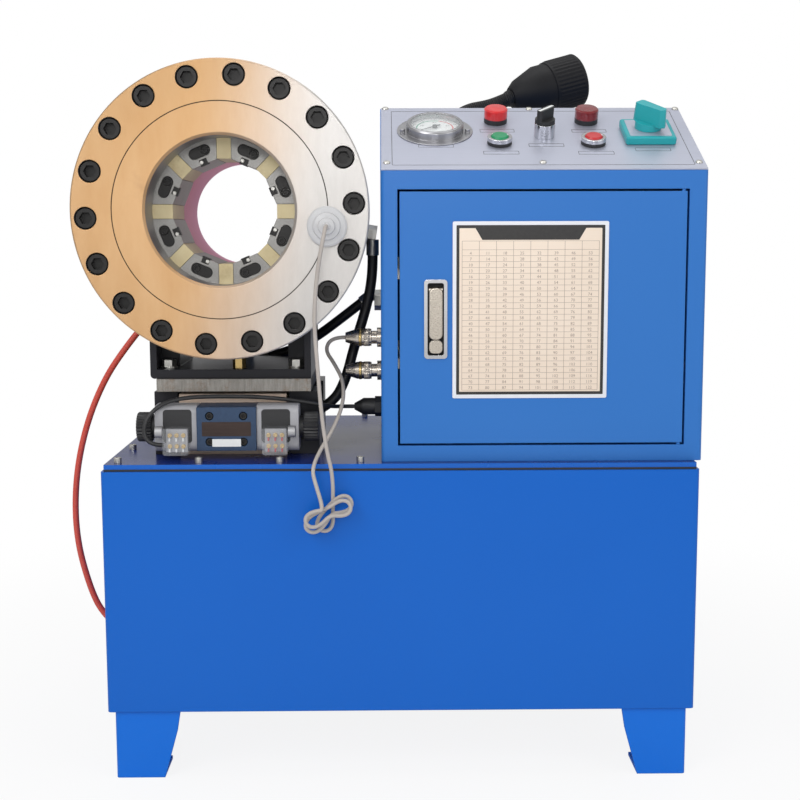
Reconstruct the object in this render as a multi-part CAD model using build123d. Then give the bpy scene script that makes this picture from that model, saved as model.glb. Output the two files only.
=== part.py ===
from build123d import *
from math import atan2, cos, degrees, hypot, radians, sin, tan
import os

# Hose crimping machine. Millimetres, x to the right, y to the back, z up.
# While it is modelled, y = 0 is the tank's front face, x = 0 the tank's middle
# and z = 0 the floor. Everything is moved to its own origin when it is written.

# Tank: folded sheet on four folded feet, closed by a bolted cover plate
tank_width = 700.0
tank_depth = 420.0
tank_height = 290.0
tank_wall = 4.0
tank_corner = 5.0
tank_rim = 32.0
foot_height = 83.0
foot_width = 78.0
foot_toe = 58.0
foot_inset = 8.0
foot_sheet = 4.0
gasket_thickness = 2.5
cover_thickness = 5.5
cover_inset = 3.5
cover_bolt_pitch = 95.5
cover_bolt_margin = 14.0
cover_bolt_radius = 4.5
cover_bolt_height = 6.5
breather_radius = 20.0
breather_brim = 12.0
breather_reach = 30.0
breather_height = 46.0
breather_margin = 6.0
drain_plug_radius = 16.0
drain_plug_flats = 22.0
drain_plug_length = 14.0
level_gauge_width = 26.0
level_gauge_height = 130.0
level_gauge_depth = 10.0
level_gauge_middle = 170.0
rear_fittings_inset = 60.0

# Cabinet beside the head, with its sloping panel, door and louvred back
cabinet_x0 = -22.5
cabinet_x1 = 355.6
cabinet_y0 = 17.0
cabinet_y1 = 400.0
cabinet_front_height = 338.0
panel_run = 173.0
panel_rise = 85.0
cabinet_wall = 2.0
cabinet_corner = 5.0
door_margin_side = 19.5
door_margin_hinge = 21.6
door_margin_top = 21.0
door_margin_bottom = 19.0
door_gap = 2.5
door_depth = 18.0
door_sheet = 2.0
hinge_setback = 4.0
hinge_pin_radius = 2.5
running_clearance = 0.05
panel_thickness = 1.5
panel_border = 1.0
back_margin = 22.0
back_sheet = 1.5
louvre_count = 9
louvre_pitch = 34.0
louvre_length = 120.0
louvre_radius = 8.0
shelf_depth = 120.0
shelf_count = 2
shelf_lip = 12.0
shelf_clearance = 0.3

# Latch in the door
latch_x = 50.2
latch_z = 146.6
latch_width = 27.0
latch_height = 92.0
lever_width = 18.0
lever_height = 60.5
lever_overhang = 2.5
lever_proud = 4.0

# Controls on the panel: column from the cabinet's left side, row up the slope
gauge_at = (66.4, 114.6)
start_at = (142.5, 76.5)
left_lamp_at = (142.5, 145.0)
selector_at = (198.0, 99.0)
stop_at = (254.5, 75.5)
right_lamp_at = (254.5, 144.0)
cam_switch_at = (323.0, 99.5)
gauge_radius = 35.0
gauge_flange_radius = 46.0
actuator_radius = 14.75
actuator_hole_radius = 11.2
button_radius = 10.5
button_travel = 4.0
barrel_length = 32.0
cam_plate = 60.0
cam_plate_height = 10.0
needle_rest = 215.0
selector_rest = 45.0
cam_switch_rest = -50.0

# Crimping head: distances back from the flange's front face are called depths
head_x = -206.0
head_y = 8.0
head_z = 674.0
flange_radius = 171.0
flange_thickness = 30.0
throat_radius = 85.5
throat_lip = 3.0
spigot_radius = 109.5
shoe_front = 51.3
cylinder_radius = 168.0
cylinder_bore = 140.0
rear_cover_thickness = 30.0
screw_circle = 153.6
screw_count = 18
screw_turn = 7.0
screw_head_radius = 12.0
screw_head_sunk = 1.5
counterbore_radius = 13.0
counterbore_depth = 17.5
rear_screw_count = 9
sleeve_bore = 66.5
sleeve_radius = 78.0

# Shoes and the ring piston whose cone closes them
shoe_count = 8
shoe_length = 92.0
closed_radius = 43.1
shoe_travel = 16.4
piston_stroke = 60.0
closed_outer_radius = 111.6
closed_shoe_gap = 0.5
cone_clearance = 0.3
shoe_end_clearance = 0.3
block_width = 17.0
block_inner_radius = 61.5
block_height = 28.5
block_clearance = 0.15
piston_length = 163.0
piston_front_gap = 2.0
piston_rear_gap = 15.0
piston_land_length = 50.0
outer_seal_from_rear = 35.0
inner_seal_from_rear = 23.0
seal_width = 6.0
seal_thickness = 5.0
seal_clearance = 0.1
retainer_length = 26.0
retainer_width = 13.0
retainer_thickness = 3.0
retainer_sunk = 0.4
retainer_clearance = 0.2
retainer_seat = 15.5
retainer_screw_radius = 4.5
notch_width = 9.0
notch_depth = 6.5
notch_length = 16.0

# Stand under the head
riser_height = 77.0
riser_gap = 2.0
base_plate_thickness = 15.0
base_plate_x0 = -292.0
base_plate_x1 = -107.0
base_plate_y0 = 60.0
base_plate_y1 = 250.0
riser_outer = -298.0
riser_width = 28.0
riser_depth = 55.0
saddle_thickness = 11.0
cheek_width = 30.0
cheek_height = 75.0
cheek_web = 8.0
mount_bolt_y = (90.0, 222.0)
mount_bolt_radius = 5.0
mount_washer_radius = 10.0
mount_washer_thickness = 2.0
mount_bolt_head = 8.0
washer_clearance = 1.0

# Valve on its manifold, lying across under the head
manifold_x0 = -268.0
manifold_x1 = -138.0
manifold_y0 = 78.0
manifold_y1 = 196.0
manifold_height = 74.0
manifold_port = (160.0, 416.0)
valve_x = -206.0
valve_z = 418.5
valve_width = 70.5
valve_height = 52.0
valve_depth = 46.0
valve_screw_x = 20.0
valve_screw_z = 15.5
coil_length = 50.0
coil_height = 55.0
coil_depth = 40.0
knob_radius = 18.0
knob_length = 18.0
knob_sides = 12

# Ports on the cylinder: clock angle and depth
feed_port = (99.0, 167.0)
return_port = (180.0, 256.0)
drain_port = (220.0, 157.0)

# Hoses and cables
hose_radius = 6.5
wall_reach = 5.0
nipple_wall = 1.5
nipple_length = 20.0
port_seat = 1.0
port_seat_radius = 13.0
drain_hose_radius = 4.0
cable_radius = 2.3
valve_cable_radius = 2.5

# Gear pump hung inside the tank, under the motor
pump_width = 92.0
pump_depth = 96.0
pump_height = 100.0
shaft_reach = 70.0
strainer_radius = 26.0
strainer_pipe_radius = 9.0
strainer_offset = 20.0
strainer_top = 120.0
strainer_bottom = 190.0

# Motor standing on the cover plate inside the cabinet
motor_x = 166.5
motor_y = 288.0
motor_radius = 86.0
motor_fin_radius = 97.0
motor_height = 300.0
motor_fins = 12
rotor_radius = 52.0
rotor_gap = 1.0
shaft_radius = 14.0

# Work lamp on the cabinet's back wall
lamp_x = 72.0
lamp_y = 420.0
lamp_z = 778.0
lamp_neck_radius = 10.0
lamp_rim_radius = 38.0
lamp_length = 110.0
lamp_ball_radius = 12.0

# Heights and planes that follow from the sizes above
tank_top = foot_height + tank_height
cover_bottom = tank_top + gasket_thickness
cover_top = cover_bottom + cover_thickness
front_top = cover_top + cabinet_front_height
cabinet_top = front_top + panel_rise
panel_angle = degrees(atan2(panel_rise, panel_run))
panel_length = hypot(panel_rise, panel_run)
cabinet_width = cabinet_x1 - cabinet_x0
cone_slope = shoe_travel / piston_stroke
shoe_rear = shoe_front + shoe_length
sleeve_front = shoe_rear + shoe_end_clearance
piston_front = flange_thickness + piston_front_gap + piston_stroke
piston_rear = piston_front + piston_length
piston_land = piston_rear - piston_land_length
outer_seal_depth = piston_rear - outer_seal_from_rear
inner_seal_depth = piston_rear - inner_seal_from_rear
head_length = piston_rear + piston_rear_gap + rear_cover_thickness
half_step = 180.0 / shoe_count
open_gap = closed_shoe_gap + 2 * shoe_travel * sin(radians(half_step))
open_radius = closed_radius + shoe_travel
pocket_depth = (block_width - open_gap) / 2
base_plate_bottom = cover_top + riser_height + riser_gap
base_plate_top = base_plate_bottom + base_plate_thickness
saddle_top = base_plate_top + saddle_thickness
saddle_x0 = riser_outer - 2
mount_bolt_inset = cheek_web + mount_washer_radius + washer_clearance
mount_bolt_x = (saddle_x0 + mount_bolt_inset, base_plate_x1 - mount_bolt_inset)

head = Plane(origin=(head_x, head_y, head_z), x_dir=(1, 0, 0), z_dir=(0, 1, 0))
panel = Plane(
    origin=(cabinet_x0, cabinet_y0, front_top),
    x_dir=(1, 0, 0),
    z_dir=(0, -sin(radians(panel_angle)), cos(radians(panel_angle))),
)
low = (Align.CENTER, Align.CENTER, Align.MIN)


def block(x0, x1, y0, y1, z0, z1):
    """A box between three pairs of planes."""
    return Pos((x0 + x1) / 2, (y0 + y1) / 2, (z0 + z1) / 2) * Box(x1 - x0, y1 - y0, z1 - z0)


def disc(place, radius, start, end):
    """A solid cylinder along the place's z axis."""
    return place * Pos(0, 0, start) * Cylinder(radius, end - start, align=low)


def ring(place, outer, inner, start, end):
    """A tube along the place's z axis."""
    return disc(place, outer, start, end) - disc(place, inner, start - 1, end + 1)


def turned(place, points):
    """A solid turned about the place's z axis from (radius, height) points."""
    outline = make_face(Plane.XZ * Polyline(*points, close=True))
    return place * revolve(outline, Axis.Z)


def prism(points, x0, x1):
    """A solid between two x planes from (y, z) points."""
    outline = make_face(Plane.YZ * Polyline(*points, close=True))
    return Pos(x0, 0, 0) * extrude(outline, x1 - x0, dir=(1, 0, 0))


def hexagon(place, across_flats, start, end):
    """A hexagonal bar along the place's z axis."""
    face = RegularPolygon(across_flats / 2, 6, major_radius=False)
    return place * Pos(0, 0, start) * extrude(face, end - start)


def pointing(x, y, z, direction):
    """A place at a point whose z axis looks along the direction."""
    return Plane(origin=(x, y, z), z_dir=direction)


def on_panel(at):
    """A place on the panel's face, z outwards."""
    return panel * Pos(at[0], at[1], panel_thickness)


def upright(x, y, z):
    return Plane(origin=(x, y, z))


def together(*solids):
    """Separate solids kept in one node."""
    gathered = []
    for item in solids:
        gathered += list(item.solids())
    return Compound(children=gathered)


# ---------------------------------------------------------------- tank


def tank():
    shell = block(
        -tank_width / 2, tank_width / 2, 0, tank_depth, foot_height, tank_top
    )
    shell = fillet(shell.edges().filter_by(Axis.Z), tank_corner)
    inside = block(
        tank_wall - tank_width / 2,
        tank_width / 2 - tank_wall,
        tank_wall,
        tank_depth - tank_wall,
        foot_height + tank_wall,
        tank_top - tank_wall,
    )
    mouth = block(
        tank_rim - tank_width / 2,
        tank_width / 2 - tank_rim,
        tank_rim,
        tank_depth - tank_rim,
        tank_top - tank_wall - 1,
        tank_top + 1,
    )
    return shell - inside - mouth


def foot(side, end):
    """One folded foot: two tapering faces that meet at the tank's corner, and a sole."""
    outline = [
        (0, 0),
        (foot_toe, 0),
        (foot_width - 4, foot_height * 0.7),
        (foot_width, foot_height),
        (0, foot_height),
    ]
    face = make_face(Polyline(*outline, close=True))
    front = Plane.XZ * extrude(face, -foot_sheet)
    flank = Plane.YZ * extrude(face, foot_sheet)
    sole = block(0, foot_toe, 0, foot_toe, 0, foot_sheet)
    solid = front + flank + sole
    corner = solid.edges().filter_by(Axis.Z).sort_by(lambda e: e.center().X + e.center().Y)[0]
    solid = fillet(corner, foot_sheet)
    turn = {(-1, -1): 0, (1, -1): 90, (1, 1): 180, (-1, 1): 270}[(side, end)]
    x = side * (tank_width / 2 - foot_inset)
    y = foot_inset / 2 if end < 0 else tank_depth - foot_inset / 2
    return Pos(x, y, 0) * Rot(0, 0, turn) * solid


def tank_feet():
    return together(*[foot(side, end) for side in (-1, 1) for end in (-1, 1)])


def cover_gasket():
    outer = block(
        cover_inset - tank_width / 2,
        tank_width / 2 - cover_inset,
        cover_inset,
        tank_depth - cover_inset,
        tank_top,
        cover_bottom,
    )
    inner = block(
        tank_rim - tank_width / 2,
        tank_width / 2 - tank_rim,
        tank_rim,
        tank_depth - tank_rim,
        tank_top - 1,
        cover_bottom + 1,
    )
    return outer - inner


def tank_cover():
    plate = block(
        cover_inset - tank_width / 2,
        tank_width / 2 - cover_inset,
        cover_inset,
        tank_depth - cover_inset,
        cover_bottom,
        cover_top,
    )
    plate -= disc(upright(motor_x, motor_y, 0), shaft_radius * 2, 0, cover_top + 1)
    plate -= disc(breather_place(), breather_radius, -cover_thickness - 1, 1)
    return plate


def bolt_is_free(x, y):
    """No bolt where the cabinet or a riser stands."""
    reach = cover_bolt_radius + 3.5
    feet = [(cabinet_x0, cabinet_x1, cabinet_y0, cabinet_y1)] + riser_places()
    return not any(
        x0 - reach < x < x1 + reach and y0 - reach < y < y1 + reach for x0, x1, y0, y1 in feet
    )


def cover_bolt_places():
    """Bolts along the two long sides, then the left side between them."""
    places = []
    edge = cover_inset + cover_bolt_margin
    reach = tank_width / 2 - edge
    steps = round(2 * reach / cover_bolt_pitch)
    for index in range(steps + 1):
        x = -reach + index * 2 * reach / steps
        places += [(x, edge), (x, tank_depth - edge)]
    span = tank_depth - 2 * edge
    rows = round(span / cover_bolt_pitch)
    places += [(-reach, edge + index * span / rows) for index in range(1, rows)]
    return [(x, y) for x, y in places if bolt_is_free(x, y)]


def cover_bolts():
    """Heads of the cap bolts along the cover plate's edges."""
    heads = [
        disc(upright(x, y, cover_top), cover_bolt_radius, 0, cover_bolt_height)
        for x, y in cover_bolt_places()
    ]
    return together(*heads)


def breather_place():
    """On the cover, just inside the tank's rim at the back on the left."""
    edge = tank_rim + breather_radius + breather_margin
    return upright(edge - tank_width / 2, tank_depth - edge, cover_top)


def tank_fittings():
    """Filler and breather on the cover, drain plug and level gauge on the tank's back."""
    neck = breather_radius - 0.5
    brim = breather_radius + breather_brim
    cap = breather_radius + breather_brim / 2
    filler = turned(
        breather_place(),
        [
            (0, -breather_reach),
            (neck, -breather_reach),
            (neck, 0),
            (brim, 0),
            (brim, breather_height * 0.09),
            (neck - 1.5, breather_height * 0.09),
            (neck - 1.5, breather_height * 0.22),
            (cap, breather_height * 0.3),
            (cap, breather_height * 0.91),
            (cap - 4, breather_height),
            (0, breather_height),
        ],
    )
    x = rear_fittings_inset - tank_width / 2
    back = pointing(x, tank_depth, foot_height + tank_wall + drain_plug_radius + 2, (0, 1, 0))
    plug = disc(back, drain_plug_radius, 0, 4) + hexagon(back, drain_plug_flats, 4, drain_plug_length)
    sight = pointing(x, tank_depth, foot_height + level_gauge_middle, (0, 1, 0))
    body = sight * Box(level_gauge_width, level_gauge_height, level_gauge_depth, align=low)
    body = fillet(body.edges().filter_by(Axis.Y), 8)
    window = Box(level_gauge_width - 14, level_gauge_height - 50, level_gauge_depth, align=low)
    return together(filler, plug, body - sight * Pos(0, 0, level_gauge_depth * 0.6) * window)


# ---------------------------------------------------------------- cabinet


def cabinet_profile(shrink, bottom):
    """The cabinet's side outline, drawn in by the sheet thickness."""
    lean = radians(panel_angle)
    drop = shrink / cos(lean)
    y0 = cabinet_y0 + shrink
    y1 = cabinet_y1 - shrink
    crest = cabinet_y0 + panel_run
    z_front = front_top + shrink * tan(lean) - drop
    crest_y = crest + shrink * tan(lean / 2)
    return [
        (y0, bottom),
        (y0, z_front),
        (crest_y, cabinet_top - shrink),
        (y1, cabinet_top - shrink),
        (y1, bottom),
    ]


def door_opening():
    return (
        cabinet_x0 + door_margin_side,
        cabinet_x1 - door_margin_hinge,
        cover_top + door_margin_bottom,
        front_top - door_margin_top,
    )


def hinge_axis():
    """The door's pivot, near its right edge and front face."""
    x = door_opening()[1] - door_gap - hinge_setback
    return x, cabinet_y0 + hinge_setback - 1


def cabinet():
    shell = prism(cabinet_profile(0, cover_top), cabinet_x0, cabinet_x1)
    fronts = shell.edges().filter_by(Axis.Z).group_by(Axis.Y)[0]
    shell = fillet(fronts, cabinet_corner)
    inside = cabinet_profile(cabinet_wall, cover_top + cabinet_wall)
    shell -= prism(inside, cabinet_x0 + cabinet_wall, cabinet_x1 - cabinet_wall)
    x0, x1, z0, z1 = door_opening()
    frame_back = cabinet_y0 + door_depth + 4
    frame = block(
        x0 - cabinet_wall, x1 + cabinet_wall, cabinet_y0, frame_back, z0 - cabinet_wall, z1 + cabinet_wall
    )
    shell += frame - block(x0, x1, 0, frame_back + 1, z0, z1)
    shell -= block(x0, x1, cabinet_y0 - 1, cabinet_y0 + 10, z0, z1)
    shell -= block(
        cabinet_x0 + back_margin,
        cabinet_x1 - back_margin,
        cabinet_y1 - 10,
        cabinet_y1 + 10,
        cover_top + back_margin,
        cabinet_top - back_margin,
    )
    shell -= disc(upright(motor_x, motor_y, 0), motor_fin_radius + 4, cover_top - 1, cover_top + 5)
    for at, radius in panel_holes():
        shell -= disc(on_panel(at), radius, -30, 5)
    hinge_x, hinge_y = hinge_axis()
    pin_hole = hinge_pin_radius + running_clearance
    shell -= disc(upright(hinge_x, hinge_y, 0), pin_hole, z0 - 6, z1 + 6)
    for y, z, radius in wall_holes():
        shell -= disc(pointing(cabinet_x0 + 5, y, z, (-1, 0, 0)), radius, 0, 10)
    return shell


def panel_holes():
    """Where the controls pass through the panel, and each hole's radius."""
    buttons = (start_at, stop_at, selector_at, left_lamp_at, right_lamp_at)
    holes = [(at, actuator_hole_radius) for at in buttons]
    holes.append((gauge_at, gauge_radius - 3))
    holes.append((cam_switch_at, 12.0))
    return holes


def control_panel():
    plate = panel * Box(
        cabinet_width - 2 * panel_border,
        panel_length - 2 * panel_border,
        panel_thickness,
        align=(Align.MIN, Align.MIN, Align.MIN),
    )
    plate = plate.moved(Location((panel_border, 0, 0)))
    plate = plate.moved(
        Location(
            (
                0,
                panel_border * cos(radians(panel_angle)),
                panel_border * sin(radians(panel_angle)),
            )
        )
    )
    for at, radius in panel_holes():
        plate -= disc(on_panel(at), radius, -30, 5)
    return plate


def cabinet_back():
    """The removable rear panel, with two columns of pressed louvres."""
    x0 = cabinet_x0 + back_margin - 10
    x1 = cabinet_x1 - back_margin + 10
    z0 = cover_top + back_margin - 10
    z1 = cabinet_top - back_margin + 10
    plate = block(x0, x1, cabinet_y1, cabinet_y1 + back_sheet, z0, z1)
    middle = (x0 + x1) / 2
    start = (z0 + z1) / 2 - (louvre_count - 1) * louvre_pitch / 2
    for column in (-1, 1):
        centre = middle + column * (louvre_length / 2 + 20)
        left = centre - louvre_length / 2
        for row in range(louvre_count):
            z = start + row * louvre_pitch
            axis = pointing(left, cabinet_y1 + back_sheet, z, (1, 0, 0))
            hood = disc(axis, louvre_radius, 0, louvre_length)
            hood -= disc(axis, louvre_radius - 1.5, 1.5, louvre_length - 1.5)
            keep = block(left, left + louvre_length, cabinet_y1 + back_sheet, cabinet_y1 + 20, z, z + 20)
            plate -= block(
                left + 1.5, left + louvre_length - 1.5, cabinet_y1 - 1, cabinet_y1 + 3, z, z + louvre_radius - 2
            )
            plate += hood & keep
    return plate


def die_shelves():
    """Shelves behind the door where the die sets stand."""
    x0 = cabinet_x0 + cabinet_wall + shelf_clearance
    x1 = cabinet_x1 - cabinet_wall - shelf_clearance
    y0 = cabinet_y0 + door_depth + 6
    shelves = []
    clear = front_top - cover_top - door_margin_top
    for index in range(shelf_count):
        z = cover_top + cabinet_wall + clear * (index + 1) / (shelf_count + 1)
        shelf = block(x0, x1, y0, y0 + shelf_depth, z, z + 2)
        shelf += block(x0, x1, y0, y0 + 2, z, z + shelf_lip)
        shelf += block(x0, x1, y0 + shelf_depth - 2, y0 + shelf_depth, z, z + shelf_lip * 2)
        shelves.append(shelf)
    return together(*shelves)


def door():
    x0, x1, z0, z1 = door_opening()
    pan = block(
        x0 + door_gap, x1 - door_gap, cabinet_y0, cabinet_y0 + door_depth, z0 + door_gap, z1 - door_gap
    )
    pan -= block(
        x0 + door_gap + door_sheet,
        x1 - door_gap - door_sheet,
        cabinet_y0 + door_sheet,
        cabinet_y0 + door_depth + 1,
        z0 + door_gap + door_sheet,
        z1 - door_gap - door_sheet,
    )
    hinge_x, hinge_y = hinge_axis()
    for start, end in ((z1 - door_gap - 20, z1 + 4), (z0 - 4, z0 + door_gap + 20)):
        pan += disc(upright(hinge_x, hinge_y, 0), hinge_pin_radius, start, end)
    x, z = latch_centre()
    pan -= block(
        x - latch_width / 2 + 2,
        x + latch_width / 2 - 2,
        cabinet_y0 - 1,
        cabinet_y0 + 5,
        z - latch_height / 2 + 2,
        z + latch_height / 2 - 2,
    )
    return pan


# ---------------------------------------------------------------- latch


def latch_centre():
    x0, _, z0, _ = door_opening()
    return x0 - door_margin_side + latch_x + 13.5, z0 + latch_z + 2


def latch_case():
    """The chromed pan that the lever lies in, clamped in the door."""
    x, z = latch_centre()
    place = Plane(origin=(x, cabinet_y0, z), x_dir=(1, 0, 0), z_dir=(0, -1, 0))
    rim = place * extrude(RectangleRounded(latch_width, latch_height, 4), 2)
    body = place * Pos(0, 0, -13.5) * extrude(
        RectangleRounded(latch_width - 4.6, latch_height - 4.6, 3), 13.5
    )
    pocket = place * Pos(0, 0, -12) * extrude(
        RectangleRounded(latch_width - 8, latch_height - 8, 2.5), 20
    )
    case = rim + body - pocket
    for side in (-1, 1):
        ear = block(
            x + side * (latch_width / 2 - 4.5) - 0.6,
            x + side * (latch_width / 2 - 4.5) + 0.6,
            cabinet_y0 + 1,
            cabinet_y0 + 12,
            z + latch_height / 2 - 12,
            z + latch_height / 2 - 4,
        )
        case += ear
    return case


def lever_pivot():
    x, z = latch_centre()
    return x, cabinet_y0 + 5, z + latch_height / 2 - 12


def latch_lever():
    """The lever that springs out of its pan and draws the bolt when it is lifted."""
    x, y, z = lever_pivot()
    middle = z + lever_overhang - lever_height / 2
    place = Plane(origin=(x, cabinet_y0 + 3, middle), x_dir=(1, 0, 0), z_dir=(0, -1, 0))
    bar = place * extrude(RectangleRounded(lever_width - 2, lever_height, 7), 3 + lever_proud)
    bar = fillet(bar.faces().sort_by(Axis.Y)[0].edges(), 1.5)
    knuckle = disc(pointing(x - (lever_width - 2) / 2, y, z, (1, 0, 0)), 3.5, 0, lever_width - 2)
    return bar + knuckle


def latch_button():
    """The push button below the lever that lets it go."""
    x, z = latch_centre()
    place = Plane(
        origin=(x, cabinet_y0 + 6, z - latch_height / 2 + 14), x_dir=(1, 0, 0), z_dir=(0, -1, 0)
    )
    return place * extrude(RectangleRounded(lever_width - 3, 15, 5), 6 + lever_proud)


# ---------------------------------------------------------------- controls


def gauge_case():
    """The pressure gauge: flange on the panel, case below it, and its dial."""
    place = on_panel(gauge_at)
    case = turned(
        place,
        [
            (0, -28),
            (gauge_radius - 4, -28),
            (gauge_radius - 4, 0),
            (gauge_flange_radius, 0),
            (gauge_flange_radius, 1.5),
            (gauge_radius, 1.5),
            (gauge_radius, 10),
            (gauge_radius - 2, 12),
            (gauge_radius - 5, 12),
            (gauge_radius - 5, 4),
            (0, 4),
        ],
    )
    for side in (-1, 1):
        case += disc(place * Pos(side * (gauge_radius + 4.5), -6, 0), 3.2, 1.4, 6)
    return together(case, disc(place, gauge_radius - 5.2, 4, 4.6))


def gauge_glass():
    return disc(on_panel(gauge_at), gauge_radius - 5, 9.5, 11)


def gauge_needle():
    place = on_panel(gauge_at)
    arm = make_face(
        Polyline((-8, -1.2), (gauge_radius - 11, -0.3), (gauge_radius - 11, 0.3), (-8, 1.2), close=True)
    )
    needle = place * Rot(0, 0, needle_rest) * Pos(0, 0, 6.5) * extrude(arm, 0.6)
    return needle + disc(place, 3, 5.2, 8)


def collar(at, height, outer, bore):
    """A control's body: barrel through the panel, ring on it."""
    place = on_panel(at)
    solid = disc(place, actuator_hole_radius - 0.2, -barrel_length, 0) + disc(place, outer, 0, height)
    return solid - disc(place, bore, -6, height + 1)


def panel_collars():
    """Collars of the two buttons, the selector and the pilot lamps, and the cam switch plate."""
    button_bore = button_radius + 0.2
    items = [collar(at, 9, actuator_radius, button_bore) for at in (start_at, stop_at)]
    items.append(collar(selector_at, 17, 12.5, 9.2))
    items += [collar(at, 7, actuator_radius - 0.5, 9) for at in (left_lamp_at, right_lamp_at)]
    place = on_panel(cam_switch_at)
    plate = place * extrude(RectangleRounded(cam_plate, cam_plate, 3), cam_plate_height)
    plate = chamfer(plate.faces().sort_by(Axis.Z)[-1].edges(), 1.5)
    plate += disc(place, 11.5, -40, 0)
    plate -= disc(place, 6.05, -20, cam_plate_height + 1)
    items.append(plate)
    return together(*items)


def pilot_lenses():
    """The two red lenses, screwed onto their collars."""
    lenses = []
    for at in (left_lamp_at, right_lamp_at):
        lens = turned(
            on_panel(at),
            [
                (0, 1),
                (8.8, 1),
                (8.8, 7),
                (actuator_radius - 1.2, 7),
                (actuator_radius - 1.2, 19),
                (actuator_radius - 3.5, 22.5),
                (0, 24.5),
            ],
        )
        lenses.append(lens)
    return together(*lenses)


def push_button(at):
    """A flat button cap that slides in its collar."""
    return turned(
        on_panel(at),
        [(0, 0.5), (button_radius, 0.5), (button_radius, 9), (button_radius - 1.5, 11), (0, 11.6)],
    )


def start_button():
    return push_button(start_at)


def stop_button():
    return push_button(stop_at)


def selector_knob():
    """A round skirt with a raised grip across it."""
    place = on_panel(selector_at)
    stem = disc(place, 9.15, 1, 17.5)
    skirt = disc(place, 12, 17.5, 22)
    grip = place * Rot(0, 0, selector_rest) * Pos(0, 0, 21) * extrude(
        RectangleRounded(26, 8, 3), 14
    )
    return stem + skirt + grip


def cam_switch_knob():
    """The wedge-shaped handle of the main switch, longer in front than behind."""
    place = on_panel(cam_switch_at) * Rot(0, 0, cam_switch_rest)
    skirt = disc(place, 16, cam_plate_height + 0.4, cam_plate_height + 9)
    outline = Polyline((-19, -6), (-15, -8.5), (21, -6.5), (25, 0), (21, 6.5), (-15, 8.5), (-19, 6), close=True)
    grip = place * Pos(0, 0, cam_plate_height + 7) * extrude(make_face(outline), 22, taper=3)
    stem = disc(place, 6, -10, cam_plate_height + 1)
    return skirt + grip + stem


# ---------------------------------------------------------------- head


def clock(radius, angle):
    """A place on the head's face plane, the angle taken clockwise from the top."""
    turn = radians(angle)
    return head * Pos(radius * sin(turn), -radius * cos(turn), 0)


def screw_angles(count):
    return [screw_turn + index * 360.0 / count for index in range(count)]


def front_flange():
    flange = turned(
        head,
        [
            (throat_radius + throat_lip, 0),
            (flange_radius - 1.5, 0),
            (flange_radius, 1.5),
            (flange_radius, flange_thickness),
            (spigot_radius, flange_thickness),
            (spigot_radius, shoe_front - shoe_end_clearance),
            (throat_radius, shoe_front - shoe_end_clearance),
            (throat_radius, throat_lip),
        ],
    )
    for angle in screw_angles(screw_count):
        flange -= disc(clock(screw_circle, angle), counterbore_radius, -1, counterbore_depth)
    return flange


def cylinder():
    """The head's tube, with a flat seat milled at each port."""
    tube = ring(head, cylinder_radius, cylinder_bore, flange_thickness, head_length - rear_cover_thickness)
    for port in (feed_port, return_port, drain_port):
        tube -= disc(head_port(*port), port_seat_radius, -port_seat, port_seat + 5)
    return tube


def rear_cover():
    """The rear cover and its long sleeve, on which the piston slides."""
    rear = head_length - rear_cover_thickness
    cover = turned(
        head,
        [
            (sleeve_bore, sleeve_front),
            (sleeve_radius, sleeve_front),
            (sleeve_radius, rear),
            (cylinder_radius, rear),
            (cylinder_radius, head_length - 2),
            (cylinder_radius - 2, head_length),
            (sleeve_bore + 4, head_length),
            (sleeve_bore, head_length - 4),
        ],
    )
    for angle in screw_angles(rear_screw_count):
        cover -= disc(
            clock(screw_circle, angle), counterbore_radius, head_length - counterbore_depth, head_length + 1
        )
    return cover


def head_screws():
    """Heads of the cap screws: those of the front flange, then those of the rear cover."""
    length = counterbore_depth - screw_head_sunk
    screws = []
    for angle in screw_angles(screw_count):
        place = clock(screw_circle, angle) * Pos(0, 0, screw_head_sunk)
        screws.append(disc(place, screw_head_radius, 0, length))
    for angle in screw_angles(rear_screw_count):
        place = clock(screw_circle, angle) * Pos(0, 0, head_length - counterbore_depth)
        screws.append(disc(place, screw_head_radius, 0, length))
    return together(*screws)


def cone_radius(depth):
    """The open shoes' outer radius at a depth, which the piston's bore follows."""
    return closed_outer_radius + shoe_travel - (depth - shoe_front) * cone_slope


def piston():
    """The ring piston: its cone narrows to the rear, so it closes the shoes as it comes forward."""
    outside = cylinder_bore - running_clearance
    inside = sleeve_radius + running_clearance
    body = turned(
        head,
        [
            (cone_radius(piston_front) + cone_clearance, piston_front),
            (outside, piston_front),
            (outside, piston_rear),
            (inside, piston_rear),
            (inside, piston_land),
            (cone_radius(piston_land) + cone_clearance, piston_land),
        ],
    )
    outer_end = outer_seal_depth + seal_width
    inner_end = inner_seal_depth + seal_width
    body -= ring(head, outside + 1, outside - seal_thickness, outer_seal_depth, outer_end)
    body -= ring(head, inside + seal_thickness, inside - 1, inner_seal_depth, inner_end)
    outer_seal = ring(
        head,
        outside,
        outside - seal_thickness + seal_clearance,
        outer_seal_depth + seal_clearance,
        outer_end - seal_clearance,
    )
    inner_seal = ring(
        head,
        inside + seal_thickness - seal_clearance,
        inside,
        inner_seal_depth + seal_clearance,
        inner_end - seal_clearance,
    )
    return together(body, outer_seal, inner_seal)





def shoe_place(index, opened):
    """A shoe's own place: x outwards, y along the rim, z back; opened moves it out."""
    angle = half_step + index * 2 * half_step
    return head * Rot(0, 0, angle - 90) * Pos(opened, 0, 0)


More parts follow.
